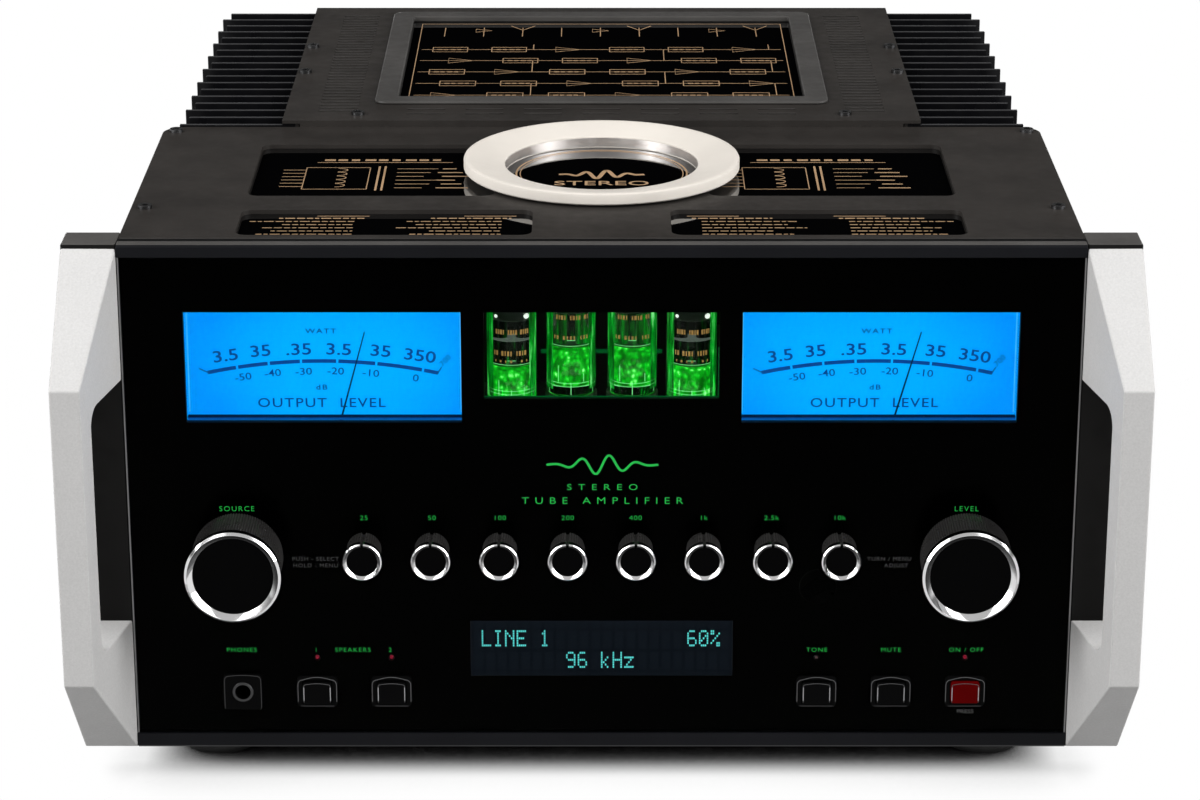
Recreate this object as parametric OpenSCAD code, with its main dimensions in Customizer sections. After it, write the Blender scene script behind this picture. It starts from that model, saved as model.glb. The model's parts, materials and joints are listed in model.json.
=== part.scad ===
// Integrated audio amplifier: glass front with two needle meters, a tube window, tone knobs and buttons,
// handles at both ends, a front cover over the transformers and a finned amplifier section behind it.
// Millimetres. X to the right, Y to the back, Z up. Each sub-part is drawn with Y = 0 at the face of the
// glass, and in_frame() then sets the origin under the middle of the whole object, at floor level.

/* [Overall] */
// Width over both handles
case_w = 444.5; // [436:0.5:480]
// Height of the front panel
panel_h = 226; // [218:1:250]
// Height of the feet
foot_h = 14; // [8:1:25]
// Depth from the face of the glass to the outer face of the rear panel
case_d = 404; // [384:1:460]
// Height of the lower chassis
base_h = 70; // [64:1:78]
// Thickness of the folded sheet metal
sheet_t = 2; // [1.5:0.25:3]

/* [Handles] */
// Width of a handle where it meets its bracket
handle_w = 22.75; // [18:0.25:24]
// Width of the grip bar at its front
grip_w = 12.5; // [8:0.5:16]
// Reach of the handle in front of the glass
handle_out = 50; // [40:1:65]
// Height of the handle's upper slope
upper_slope = 45; // [30:1:55]
// Height of the handle's lower slope
lower_slope = 50; // [30:1:55]
// Thickness of the grip bar, front to back
grip_t = 12; // [8:1:18]
// Height of the solid leg above and below the finger gap
handle_leg = 59; // [50:1:75]
// Corner radius of the finger gap
gap_corner_r = 8; // [3:0.5:14]
// Depth of the bracket behind the handle
bracket_d = 17.5; // [12:0.5:30]
// Height of the bracket's top above the handle
bracket_lip = 1.5; // [0.5:0.25:4]

/* [Glass front] */
// Thickness of the front glass
glass_t = 5; // [3:0.5:8]
// Thickness of the metal panel behind the glass
subpanel_t = 3; // [2:0.5:5]
// Height of the rail along the upper edge of the glass
upper_rail_h = 5.5; // [3:0.5:10]
// Height of the rail along the lower edge of the glass
lower_rail_h = 6.8; // [3:0.2:10]
// Reach of the rails in front of the glass
rail_out = 1.2; // [0.4:0.2:3]

/* [Meters] */
// Width of a meter window, as a ratio of the glass's width
meter_w_ratio = 0.2882; // [0.24:0.0002:0.3]
// Height of a meter window, as a ratio of the panel's height
meter_h_ratio = 0.2142; // [0.16:0.0002:0.23]
// Distance from the panel's top to the windows, as a ratio of its height
window_drop_ratio = 0.1345; // [0.11:0.0005:0.16]
// Distance from the end of the glass to a meter window, as a ratio of the width
meter_inset_ratio = 0.0652; // [0.05:0.0002:0.07]
// Depth of the dial behind the sub-panel
dial_recess = 6; // [5:0.5:10]
// Depth of the meter case behind the sub-panel
meter_case_d = 32; // [26:1:45]
// Distance from a meter window down to the pivot, as a ratio of the panel's height
pivot_drop_ratio = 0.1106; // [0.08:0.0002:0.115]
// Reach of an upright needle into its window, as a ratio of the window's height
needle_reach_ratio = 0.8264; // [0.6:0.0002:0.9]
// Angle of the resting needle, to the right of upright
needle_angle = 15; // [-40:1:30]
// Width of the needle's blade
needle_w = 0.9; // [0.6:0.1:2]

/* [Tube window] */
// Width of the tube window, as a ratio of the glass's width
tube_window_w_ratio = 0.2456; // [0.23:0.0002:0.255]
// Height of the tube window, as a ratio of the panel's height
tube_window_h_ratio = 0.1681; // [0.13:0.0001:0.18]
// Radius of a tube
tube_r = 10.5; // [9:0.25:11.5]
// Height of a tube's glass
tube_l = 50; // [40:1:56]
// Wall of a tube's glass
tube_wall = 0.8; // [0.5:0.1:1.5]
// Distance of the outer tubes from the middle, as a ratio of the window's width
outer_tube_ratio = 0.3878; // [0.375:0.0002:0.395]
// Distance of the inner tubes from the middle, as a ratio of the window's width
inner_tube_ratio = 0.1327; // [0.125:0.0001:0.14]
// Distance of the outer tubes behind the face of the glass
outer_tube_y = 30; // [28:0.5:34]
// Distance of the inner tubes behind the outer ones
tube_stagger = 10; // [0:0.5:16]
// Depth of the tubes' feet below the window
tube_sink = 8.5; // [6:0.5:14]

/* [Knobs] */
// Radius of a large knob over its bright rim
big_knob_r = 20.1; // [16:0.1:24]
// Length of a large knob
big_knob_l = 26; // [18:0.5:34]
// Radius of the dark disc in a large knob's face
big_disc_r = 16.7; // [12:0.1:18]
// Distance of a large knob from the end of the glass, as a ratio of the width
big_knob_inset_ratio = 0.1153; // [0.1:0.0001:0.13]
// Height of the large knobs on the panel, as a ratio of its height
big_knob_ratio = 0.3956; // [0.36:0.0002:0.41]
// Radius of a tone knob over its bright rim
tone_knob_r = 8.2; // [6:0.1:10]
// Length of a tone knob
tone_knob_l = 17; // [12:0.5:22]
// Radius of the dark disc in a tone knob's face
tone_disc_r = 6.1; // [4:0.1:7]
// Spacing of the eight tone knobs, as a ratio of the glass's width
tone_pitch_ratio = 0.0717; // [0.06:0.0001:0.074]
// Height of the tone knobs on the panel, as a ratio of its height
tone_knob_ratio = 0.4102; // [0.38:0.0002:0.42]
// Clearance between the glass and a knob that is pushed home
knob_clear = 0.5; // [0.3:0.1:1.5]
// Radius of a control shaft
shaft_r = 3; // [2:0.1:3.5]
// How far the selector knob pushes in
selector_travel = 1; // [0.5:0.1:1.5]

/* [Buttons and socket] */
// Width of a button's bezel
bezel_w = 17.2; // [15:0.2:20]
// Height of a button's bezel
bezel_h = 14.5; // [13:0.1:17]
// Width of a button
button_w = 12.3; // [10:0.1:13]
// Height of a button
button_h = 9.8; // [8:0.1:10.5]
// Reach of a button in front of the glass
button_out = 2.6; // [2:0.1:4]
// Travel of a button
button_travel = 2; // [1:0.1:2.5]
// Height of the buttons on the panel, as a ratio of its height
button_ratio = 0.1164; // [0.1:0.0002:0.13]
// Spacing of the buttons, as a ratio of the glass's width
button_pitch_ratio = 0.0797; // [0.065:0.0001:0.085]
// Width of the headphone socket's square bezel
jack_w = 16.4; // [15:0.2:20]
// Radius of the headphone socket's bore
jack_bore_r = 3.2; // [1.8:0.1:3.5]
// Height of the indicator lamps on the panel, as a ratio of its height
lamp_ratio = 0.1779; // [0.165:0.0001:0.19]
// Radius of an indicator lamp
lamp_r = 1.1; // [0.8:0.1:2]

/* [Display] */
// Width of the display window, as a ratio of the glass's width
display_w_ratio = 0.2807; // [0.2:0.0001:0.3]
// Height of the display window, as a ratio of the panel's height
display_h_ratio = 0.1133; // [0.08:0.0001:0.12]
// Height of the display's foot on the panel, as a ratio of its height
display_ratio = 0.1403; // [0.12:0.0001:0.16]
// Radius of the remote sensor window
sensor_r = 7.8; // [4:0.2:9]
// Height of the remote sensor on the panel, as a ratio of its height
sensor_ratio = 0.323; // [0.3:0.001:0.335]

/* [Covers] */
// Depth of the front cover behind the sub-panel
front_cover_d = 175; // [165:1:190]
// Radius of the front cover's rear corners
cover_corner_r = 10; // [4:0.5:18]
// Distance from the side of the front cover to the printed windows
print_inset = 47.5; // [40:0.5:60]
// Outer radius of the round ring on the front cover
ring_r = 60.5; // [54:0.5:64]
// Inner radius of the round ring
ring_bore_r = 42.4; // [34:0.2:46]
// Height of the ring above the cover
ring_h = 6; // [4:0.25:10]
// Rise of the rear cover above the front cover
rear_rise = 3; // [1:0.25:6]
// Width of the rear cover, as a ratio of the chassis width
rear_w_ratio = 0.7318; // [0.69:0.0002:0.75]
// Distance from the side of the rear cover to the raised frame
frame_inset = 40.5; // [38:0.5:50]
// Width of the raised frame's border
frame_border = 10.5; // [7:0.5:14]
// Height of the raised frame
frame_rise = 1.5; // [0.75:0.25:4]

/* [Heat sinks] */
// Number of fins on each heat sink
fin_n = 18; // [12:1:22]
// Distance of the long fins' tips inside the side of the chassis
fin_inset = 6.5; // [2:0.5:12]
// How much shorter every second fin is
fin_step = 3; // [0:0.5:8]
// Thickness of a fin
fin_t = 2.4; // [1.5:0.1:3.5]
// Thickness of the plate that the fins stand on
sink_t = 6; // [4:0.5:9]

/* [Rear sockets] */
// Length of a speaker post behind the rear panel
post_l = 26; // [18:1:32]
// Radius of a speaker post's cap
post_r = 8; // [6:0.25:10]
// Radius of a phono socket's sleeve
phono_r = 4.15; // [3.5:0.05:4.5]
// Radius of a balanced socket
balanced_r = 11; // [9:0.25:12]

/* [Inside] */
// Height of the power transformer
power_core_h = 132; // [100:1:150]
// Width of the power transformer
power_core_w = 150; // [120:1:160]
// Depth of the transformers
core_d = 100; // [80:1:105]
// Height of an output transformer
output_core_h = 104; // [80:1:140]
// Width of an output transformer
output_core_w = 72; // [60:1:80]
// Radius of a filter capacitor
cap_r = 24; // [18:0.5:27]
// Height of a filter capacitor
cap_h = 98; // [70:1:130]
// Thickness of a circuit board
board_t = 1.6; // [1:0.1:3]

/* [Hidden] */
$fn = 64;
// Radial clearance of a shaft that turns in its bush
running_fit = 0.05;
// Clearance around a piece that passes through a panel
panel_fit = 0.2;
// Clearance around a button in its bezel
button_fit = 0.3;
// A cut runs this far past the face it opens
past = 1;

glass_half = case_w / 2 - handle_w;
glass_w = 2 * glass_half;
panel_z = foot_h;
panel_top = foot_h + panel_h;
subpanel_y = glass_t;
inside_y = glass_t + subpanel_t;
glass_low = panel_z + lower_rail_h;
glass_high = panel_top - upper_rail_h;
handle_top = panel_top - bracket_lip;
trim_gap = 0.3;

base_top = foot_h + base_h;
floor_z = foot_h + sheet_t;
rear_panel_y = case_d - sheet_t;
front_cover_y = inside_y + front_cover_d;
rear_top = panel_top + rear_rise;
rear_half = glass_half * rear_w_ratio;
sink_inner_x = rear_half - sink_t;
rear_reach = case_d + post_l;
depth_centre = (rear_reach - handle_out) / 2;

meter_w = glass_w * meter_w_ratio;
meter_h = panel_h * meter_h_ratio;
meter_x = glass_half - glass_w * meter_inset_ratio - meter_w / 2;
window_top = panel_top - panel_h * window_drop_ratio;
meter_low = window_top - meter_h;
pivot_drop = panel_h * pivot_drop_ratio;
pivot_z = meter_low - pivot_drop;
dial_y = inside_y + dial_recess;
dial_t = 1;
meter_wall = 1.5;
case_margin = 3;
case_under_pivot = 8;
meter_case_low = pivot_z - case_under_pivot;
meter_case_high = window_top + case_margin;
meter_case_back = inside_y + meter_case_d;
pivot_r = 0.9;
needle_hub_r = 3;
needle_hub_l = 2;
needle_t = 0.6;
needle_gap = 0.6;
needle_y = dial_y - needle_gap - needle_hub_l;
needle_l = pivot_drop + meter_h * needle_reach_ratio;

tube_window_w = glass_w * tube_window_w_ratio;
tube_window_h = panel_h * tube_window_h_ratio;
outer_tube_x = tube_window_w * outer_tube_ratio;
inner_tube_x = tube_window_w * inner_tube_ratio;
tube_low = window_top - tube_window_h - tube_sink;
socket_h = 10;
tube_board_z = tube_low - socket_h - board_t;

knob_gap = selector_travel + knob_clear;
knob_front = big_knob_l + knob_gap;
shaft_cover = 8;
big_x = glass_half - glass_w * big_knob_inset_ratio;
big_z = panel_z + panel_h * big_knob_ratio;
tone_z = panel_z + panel_h * tone_knob_ratio;
tone_pitch = glass_w * tone_pitch_ratio;
rim_l = 4.5;
rim_round = 1.2;
disc_recess = 0.8;
rim_step = 0.9;
bush_r = shaft_r + 1.6;
pot_standoff = 10;
pot_y = inside_y + pot_standoff;
pot_d = 10;
pot_w = 12;
encoder_w = 15;
pot_floor = 3;
push_room = 0.5;
control_board_y = pot_y + pot_d;
board_inset = 20;
board_below = 13;
board_above = 15;
control_board_high = tone_z + board_above;
control_board_half = glass_half - board_inset;
shaft_end = control_board_y - pot_floor;
tone_x = [for (i = [0:7]) (i - 3.5) * tone_pitch];

row_z = panel_z + panel_h * button_ratio;
control_board_low = row_z - board_below;
button_pitch = glass_w * button_pitch_ratio;
power_offset = 2;
power_x = big_x + power_offset;
button_x = [
    -(big_x - button_pitch),
    -(big_x - 2 * button_pitch),
    power_x - 2 * button_pitch,
    power_x - button_pitch,
    power_x
];
bezel_out = 1.2;
bezel_wall = 0.8;
hole_w = button_w + 2 * button_fit;
hole_h = button_h + 2 * button_fit;
sleeve_w = hole_w + 2 * bezel_wall;
sleeve_h = hole_h + 2 * bezel_wall;
stem_r = 2.5;
switch_h = 4;
switch_w = 7;
keeper_w = sleeve_w;
keeper_h = sleeve_h;
keeper_t = 1.2;
jack_x = -big_x;
jack_barrel_r = 6;
jack_out = 1.6;
jack_l = 32;
jack_floor = 2;
lamp_x = [button_x[0], button_x[1], button_x[2], button_x[4]];
lamp_l = 5;
lamps_z = panel_z + panel_h * lamp_ratio;
display_w = glass_w * display_w_ratio;
display_h = panel_h * display_h_ratio;
display_low = panel_z + panel_h * display_ratio;
display_high = display_low + display_h;
display_margin = 4;
display_d = 12;
sensor_x = button_x[2];
sensor_z = panel_z + panel_h * sensor_ratio;
sensor_l = 8;

skin_z = panel_top - sheet_t;
print_glass_t = 3;
print_edge = 5.5;
print_front_d = 36.5;
print_gap = 21;
print_rear_d = 82;
print_front_start = inside_y + print_edge;
print_front_end = print_front_start + print_front_d;
print_rear_start = print_front_end + print_gap;
print_rear_end = print_rear_start + print_rear_d;
print_front_y = [print_front_start, print_front_end];
print_rear_y = [print_rear_start, print_rear_end];
print_front_in = 29;
print_rear_in = 46;
print_reach = glass_half - print_inset;
print_corner_r = 5;
ring_back = 105;
ring_y = inside_y + ring_back;
ring_dish = 3;
ring_seat_w = 5;
ring_seat_r = ring_bore_r + ring_seat_w;
skin_t = 1.5;
rear_skin_z = rear_top - skin_t;
flange_h = 14;
cover_notch = 8;
frame_half = rear_half - frame_inset;
frame_front_gap = 28;
frame_rear_gap = 14;
frame_y = [front_cover_y + frame_front_gap, case_d - frame_rear_gap];
frame_corner_r = 6;
frame_inner_half = frame_half - frame_border;
frame_glass_t = 2;
frame_ledge = 4;
vent_slot = 1.8;
vent_pitch = 5.3;
vent_w = 18;
vent_shift = 4;
vent_x = (frame_half + rear_half) / 2 - vent_shift;
front_vent_n = 7;
front_vent_pitch = 27;
front_vent_l = 17.5;
front_vent_gap = 12;
front_vent_row = 8;
front_vent_y = [for (i = [0, 1]) front_cover_y + front_vent_gap + i * front_vent_row];

sink_gap = 1;
sink_y = front_cover_y + sink_gap;
sink_d = rear_panel_y - sink_y;
fin_pitch = (sink_d - fin_t) / (fin_n - 1);
fin_l = glass_half - rear_half - fin_inset;
fin_lift = 4;
fin_drop = 1;
fin_top = rear_skin_z - fin_drop;

screw_head_r = 3;
screw_head_h = 1.4;
screw_r = 1.5;
screw_l = 6;
front_screw_gap = 45;
front_screw_edge = 8;
front_screw_y = [inside_y + front_screw_gap, front_cover_y - front_screw_edge];
front_screw_inset = 6;
front_screw_x = glass_half - front_screw_inset;
rear_screw_gap = 88;
rear_screw_pitch = 50;
rear_screw_y = [for (i = [0, 1]) front_cover_y + rear_screw_gap + i * rear_screw_pitch];
rear_screw_inset = 4;
rear_screw_x = rear_half - rear_screw_inset;
nose_screw_inset = 34;
nose_screw_x = rear_half - nose_screw_inset;
nose_screw_edge = 11;
nose_screw_y = front_cover_y + nose_screw_edge;

socket_pitch = 26;
post_inset = 23.5;
post_x = [for (i = [0:3]) glass_half - post_inset - i * socket_pitch];
post_z = foot_h + base_h / 2;
post_shank_r = 4;
post_collar = 4;
phono_half = 4 * socket_pitch;
phono_x = [for (i = [-4:4]) i * socket_pitch];
phono_up = 88;
phono_low = base_top + phono_up;
phono_high = phono_low + socket_pitch;
phono_z = [phono_low, phono_high];
phono_l = 10;
balanced_inner = 38;
balanced_pitch = 40;
balanced_outer = balanced_inner + balanced_pitch;
balanced_x = [-balanced_outer, -balanced_inner, balanced_inner, balanced_outer];
balanced_up = 36;
balanced_z = base_top + balanced_up;
inlet_w = 27.5;
inlet_h = 20;
inlet_wall = 2;
inlet_flange_w = 48;
inlet_d = 20;
inlet_depth = 17;
inlet_pin_l = 11;
preamp_gap = 12;
preamp_y = rear_panel_y - preamp_gap;

core_inset = 20;

colour_steel = [0.16, 0.15, 0.15];
colour_black = [0.05, 0.05, 0.055];
colour_silver = [0.78, 0.78, 0.79];
colour_board = [0.07, 0.22, 0.12];

// Shared helpers

// Moves a piece drawn from the face of the glass into the object's own frame
module in_frame() {
    translate([0, -depth_centre, 0]) children();
}

// Rectangle with round corners, about its middle
module rounded_rect(w, h, r) {
    square([w - 2 * r, h], center = true);
    square([w, h - 2 * r], center = true);
    for (sx = [-1, 1], sy = [-1, 1]) {
        translate([sx * (w / 2 - r), sy * (h / 2 - r)]) circle(r);
    }
}

// Block between two opposite corners
module span(low, high) {
    translate(low) cube(high - low);
}

// Upright plate: an outline in X and Z, from y0 to y1
module upright(y0, y1) {
    translate([0, y1, 0]) rotate([90, 0, 0]) linear_extrude(y1 - y0) children();
}

// Level plate: an outline in X and Y, from z0 to z1
module level(z0, z1) {
    translate([0, 0, z0]) linear_extrude(z1 - z0) children();
}

// Outline in Y and Z, carried along X from x0 to x1
module along_x(x0, x1) {
    translate([x0, 0, 0]) rotate([90, 0, 90]) linear_extrude(x1 - x0) children();
}

// Round bar along Y from y0 to y1
module bar_y(r, y0, y1) {
    translate([0, y0, 0]) rotate([-90, 0, 0]) cylinder(r = r, h = y1 - y0);
}

// Turned piece along Y: points are radius and distance behind y0
module turned_back(y0, points) {
    translate([0, y0, 0]) rotate([-90, 0, 0]) rotate_extrude() polygon(points);
}

// Turned piece along Y: points are radius and distance in front of y0
module turned_front(y0, points) {
    translate([0, y0, 0]) rotate([90, 0, 0]) rotate_extrude() polygon(points);
}

// Hole for a screw whose head rests at z
module screw_hole(x, y, z) {
    translate([x, y, z - screw_l - past]) cylinder(r = screw_r + panel_fit, h = screw_l + 2 * past);
}

// Copies for the two sides
module both_sides() {
    children();
    mirror([1, 0, 0]) children();
}

// Chassis and front panel

module chassis_tray() {
    vent_step = 24;
    vent_l = 10;
    vent_edge = 8;
    vent_n = floor(sink_d / vent_step);
    color(colour_silver) {
        difference() {
            span([-glass_half, inside_y, foot_h], [glass_half, rear_panel_y, base_top]);
            span(
                [-glass_half + sheet_t, inside_y - past, floor_z],
                [glass_half - sheet_t, rear_panel_y + past, base_top + past]
            );
        }
        both_sides() difference() {
            span(
                [sink_inner_x - flange_h, sink_y, base_top - sheet_t],
                [glass_half, rear_panel_y, base_top]
            );
            for (i = [0:vent_n - 1]) {
                y = sink_y + (i + 0.5) * vent_step;
                span(
                    [rear_half + vent_edge, y, base_top - sheet_t - past],
                    [glass_half - sheet_t - vent_edge, y + vent_l, base_top + past]
                );
            }
        }
    }
}

module feet() {
    foot_r = 20;
    foot_taper = 3;
    recess_r = 6;
    foot_inset = 32;
    foot_x = glass_half - foot_inset;
    color(colour_black)
    for (sx = [-1, 1], y = [inside_y + foot_inset, rear_panel_y - foot_inset]) {
        translate([sx * foot_x, y, 0]) rotate_extrude() polygon([
            [recess_r, 0],
            [foot_r - foot_taper, 0],
            [foot_r, foot_taper],
            [foot_r, foot_h],
            [0, foot_h],
            [0, foot_h / 2],
            [recess_r, foot_h / 2]
        ]);
    }
}

// Places of all pieces that pass through the front, as holes with a clearance
module control_holes(fit) {
    for (x = tone_x) translate([x, tone_z]) circle(bush_r + fit);
    for (sx = [-1, 1]) translate([sx * big_x, big_z]) circle(bush_r + fit);
    for (x = button_x) translate([x, row_z]) square([sleeve_w + 2 * fit, sleeve_h + 2 * fit], center = true);
    translate([jack_x, row_z]) circle(jack_barrel_r + fit);
}

module front_subpanel() {
    color(colour_black)
    upright(subpanel_y, inside_y) difference() {
        translate([-glass_half, panel_z]) square([2 * glass_half, panel_h]);
        control_holes(panel_fit);
        for (sx = [-1, 1]) {
            translate([sx * meter_x - meter_w / 2, meter_low]) square([meter_w, meter_h]);
        }
        translate([-tube_window_w / 2, window_top - tube_window_h]) square([tube_window_w, tube_window_h]);
        translate([-display_w / 2, display_low]) square([display_w, display_h]);
        translate([sensor_x, sensor_z]) circle(sensor_r + panel_fit);
        for (x = lamp_x) translate([x, lamps_z]) circle(lamp_r + panel_fit);
    }
}

module front_glass() {
    color([0.02, 0.02, 0.025, 0.5])
    upright(0, glass_t) difference() {
        translate([-glass_half + trim_gap, glass_low]) {
            square([2 * (glass_half - trim_gap), glass_high - glass_low]);
        }
        control_holes(panel_fit);
    }
}

// Metal strip along an edge of the glass, with a bevel on its outer front corner
module rail(z_glass, z_edge) {
    bevel = rail_out;
    inward = sign(z_edge - z_glass) * bevel;
    color(colour_steel)
    along_x(-glass_half, glass_half) polygon([
        [-rail_out, z_glass],
        [-rail_out, z_edge - inward],
        [-rail_out + bevel, z_edge],
        [subpanel_y, z_edge],
        [subpanel_y, z_glass]
    ]);
}

module upper_rail() {
    rail(glass_high, panel_top);
}

module lower_rail() {
    rail(glass_low, panel_z);
}

// Handle at the right end: side outline and tapered plan, less the finger gap
module handle() {
    gap_low = panel_z + handle_leg;
    gap_high = panel_top - handle_leg;
    gap_front = -(handle_out - grip_t);
    outer_x = case_w / 2;
    difference() {
        intersection() {
            along_x(glass_half - past, outer_x) polygon([
                [0, panel_z],
                [0, handle_top],
                [-handle_out, handle_top - upper_slope],
                [-handle_out, panel_z + lower_slope]
            ]);
            level(panel_z - past, panel_top + past) polygon([
                [glass_half, 0],
                [outer_x, 0],
                [outer_x, -handle_out],
                [outer_x - grip_w, -handle_out]
            ]);
        }
        along_x(glass_half - past, outer_x + past) {
            translate([gap_front + gap_corner_r, gap_low]) {
                square([past - gap_front - gap_corner_r, gap_high - gap_low]);
            }
            translate([gap_front, gap_low + gap_corner_r]) {
                square([past - gap_front, gap_high - gap_low - 2 * gap_corner_r]);
            }
            for (z = [gap_low + gap_corner_r, gap_high - gap_corner_r]) {
                translate([gap_front + gap_corner_r, z]) circle(gap_corner_r);
            }
        }
    }
}

module left_handle() {
    color(colour_silver) mirror([1, 0, 0]) handle();
}

module right_handle() {
    color(colour_silver) handle();
}

module handle_brackets() {
    color(colour_black)
    both_sides() span([glass_half, 0, panel_z], [case_w / 2, bracket_d, panel_top]);
}

// Covers

// Plan of the front cover, square at the front and round at its rear corners
module cover_plan(inset, front, r) {
    half = glass_half - inset;
    back = front_cover_y - inset;
    translate([-half, front]) square([2 * half, back - front - r]);
    translate([-half + r, front]) square([2 * (half - r), back - front]);
    for (sx = [-1, 1]) translate([sx * (half - r), back - r]) circle(r);
}

module print_window(x0, x1, y) {
    translate([(x0 + x1) / 2, (y[0] + y[1]) / 2]) rounded_rect(x1 - x0, y[1] - y[0], print_corner_r);
}

module transformer_cover() {
    color(colour_steel)
    difference() {
        level(base_top, panel_top) cover_plan(0, inside_y, cover_corner_r);
        level(base_top - past, skin_z) cover_plan(sheet_t, inside_y - past, cover_corner_r - sheet_t);
        level(skin_z - past, panel_top + past) {
            for (sx = [0, 1]) mirror([sx, 0]) {
                print_window(print_front_in, print_reach, print_front_y);
                print_window(print_rear_in, print_reach, print_rear_y);
            }
            translate([0, ring_y]) circle(ring_seat_r);
        }
        for (sx = [-1, 1], y = front_screw_y) screw_hole(sx * front_screw_x, y, panel_top);
    }
}

module cover_glass() {
    margin = 6;
    front_margin = 4;
    color(colour_black)
    span(
        [-print_reach - margin, print_front_y[0] - front_margin, skin_z - print_glass_t],
        [print_reach + margin, print_rear_y[1] + margin, skin_z]
    );
}

module emblem_ring() {
    foot_bevel = 1;
    rim_bevel = 0.8;
    rim_land = 2;
    color([0.9, 0.86, 0.78])
    translate([0, ring_y, 0]) rotate_extrude() polygon([
        [ring_bore_r, skin_z],
        [ring_seat_r - panel_fit, skin_z],
        [ring_seat_r - panel_fit, panel_top],
        [ring_r - foot_bevel, panel_top],
        [ring_r, panel_top + foot_bevel],
        [ring_r, panel_top + ring_h - rim_bevel],
        [ring_r - rim_bevel, panel_top + ring_h],
        [ring_r - rim_land, panel_top + ring_h],
        [ring_bore_r, panel_top + ring_h - ring_dish]
    ]);
}

module rear_cover() {
    vent_end = 16;
    slot_rows = floor((sink_d - 1.5 * vent_end) / vent_pitch);
    slot_cut = 4 * skin_t;
    color(colour_steel)
    difference() {
        union() {
            span([-rear_half, front_cover_y, rear_skin_z], [rear_half, rear_panel_y, rear_top]);
            both_sides() span(
                [sink_inner_x - skin_t, sink_y, rear_skin_z - flange_h],
                [sink_inner_x, rear_panel_y, rear_skin_z]
            );
            span(
                [-rear_half + cover_notch, front_cover_y, rear_skin_z - flange_h],
                [rear_half - cover_notch, front_cover_y + skin_t, rear_skin_z]
            );
        }
        span(
            [-frame_inner_half - frame_ledge, frame_y[0] + frame_border - frame_ledge, rear_skin_z - past],
            [frame_inner_half + frame_ledge, frame_y[1] - frame_border + frame_ledge, rear_top + past]
        );
        for (sx = [-1, 1], i = [0:slot_rows - 1]) {
            translate([sx * vent_x, sink_y + vent_end + i * vent_pitch, rear_top]) {
                cube([vent_w, vent_slot, slot_cut], center = true);
            }
        }
        for (i = [0:front_vent_n - 1], y = front_vent_y) {
            translate([(i - (front_vent_n - 1) / 2) * front_vent_pitch, y, rear_top]) {
                cube([front_vent_l, vent_slot, slot_cut], center = true);
            }
        }
        for (sx = [-1, 1]) {
            for (y = rear_screw_y) screw_hole(sx * rear_screw_x, y, rear_top);
            screw_hole(sx * nose_screw_x, nose_screw_y, rear_top);
        }
    }
}

module diagram_frame() {
    frame_d = frame_y[1] - frame_y[0];
    color([0.3, 0.29, 0.28])
    translate([0, (frame_y[0] + frame_y[1]) / 2, 0]) {
        level(rear_top, rear_top + frame_rise) difference() {
            rounded_rect(2 * frame_half, frame_d, frame_corner_r);
            square([2 * frame_inner_half, frame_d - 2 * frame_border], center = true);
        }
        level(rear_skin_z, rear_top) difference() {
            square([
                2 * (frame_inner_half + frame_ledge - panel_fit),
                frame_d - 2 * (frame_border - frame_ledge + panel_fit)
            ], center = true);
            square([2 * frame_inner_half, frame_d - 2 * frame_border], center = true);
        }
    }
}

module diagram_glass() {
    overlap = 2 * frame_ledge;
    color(colour_black)
    span(
        [-frame_inner_half - overlap, frame_y[0] + frame_border - overlap, rear_skin_z - frame_glass_t],
        [frame_inner_half + overlap, frame_y[1] - frame_border + overlap, rear_skin_z]
    );
}

// Heat sink at the right side: an upright plate with fins that run outward
module heat_sink() {
    difference() {
        span([sink_inner_x, sink_y, base_top], [rear_half, rear_panel_y, rear_skin_z]);
        for (y = rear_screw_y) screw_hole(rear_screw_x, y, rear_top);
    }
    for (i = [0:fin_n - 1]) {
        reach = fin_l - (i % 2) * fin_step;
        translate([rear_half, sink_y + i * fin_pitch, base_top + fin_lift]) {
            cube([reach, fin_t, fin_top - base_top - fin_lift]);
        }
    }
}

module left_heat_sink() {
    color(colour_black) mirror([1, 0, 0]) heat_sink();
}

module right_heat_sink() {
    color(colour_black) heat_sink();
}

module rear_panel() {
    color(colour_black)
    upright(rear_panel_y, case_d) difference() {
        union() {
            translate([-glass_half, foot_h]) square([2 * glass_half, base_h]);
            translate([-rear_half, base_top]) square([2 * rear_half, rear_top - base_top]);
        }
        for (sx = [-1, 1], x = post_x) translate([sx * x, post_z]) circle(post_shank_r + panel_fit);
        for (x = phono_x, z = phono_z) translate([x, z]) circle(phono_r + panel_fit);
        for (x = balanced_x) translate([x, balanced_z]) circle(balanced_r + panel_fit);
        translate([0, post_z]) square([inlet_w + 2 * panel_fit, inlet_h + 2 * panel_fit], center = true);
    }
}

// Screw with a round head and a hexagon recess, its head resting at z
module screw(x, y, z) {
    recess_r = 1.5;
    translate([x, y, z]) difference() {
        union() {
            cylinder(r = screw_head_r, h = screw_head_h);
            translate([0, 0, -screw_l]) cylinder(r = screw_r, h = screw_l + screw_head_h / 2);
        }
        translate([0, 0, screw_head_h / 2]) cylinder(r = recess_r, h = screw_head_h, $fn = 6);
    }
}

module cover_screws() {
    color([0.3, 0.3, 0.31])
    for (sx = [-1, 1]) {
        for (y = front_screw_y) screw(sx * front_screw_x, y, panel_top);
        for (y = rear_screw_y) screw(sx * rear_screw_x, y, rear_top);
        screw(sx * nose_screw_x, nose_screw_y, rear_top);
    }
}

// Transformers, capacitors and boards

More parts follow.
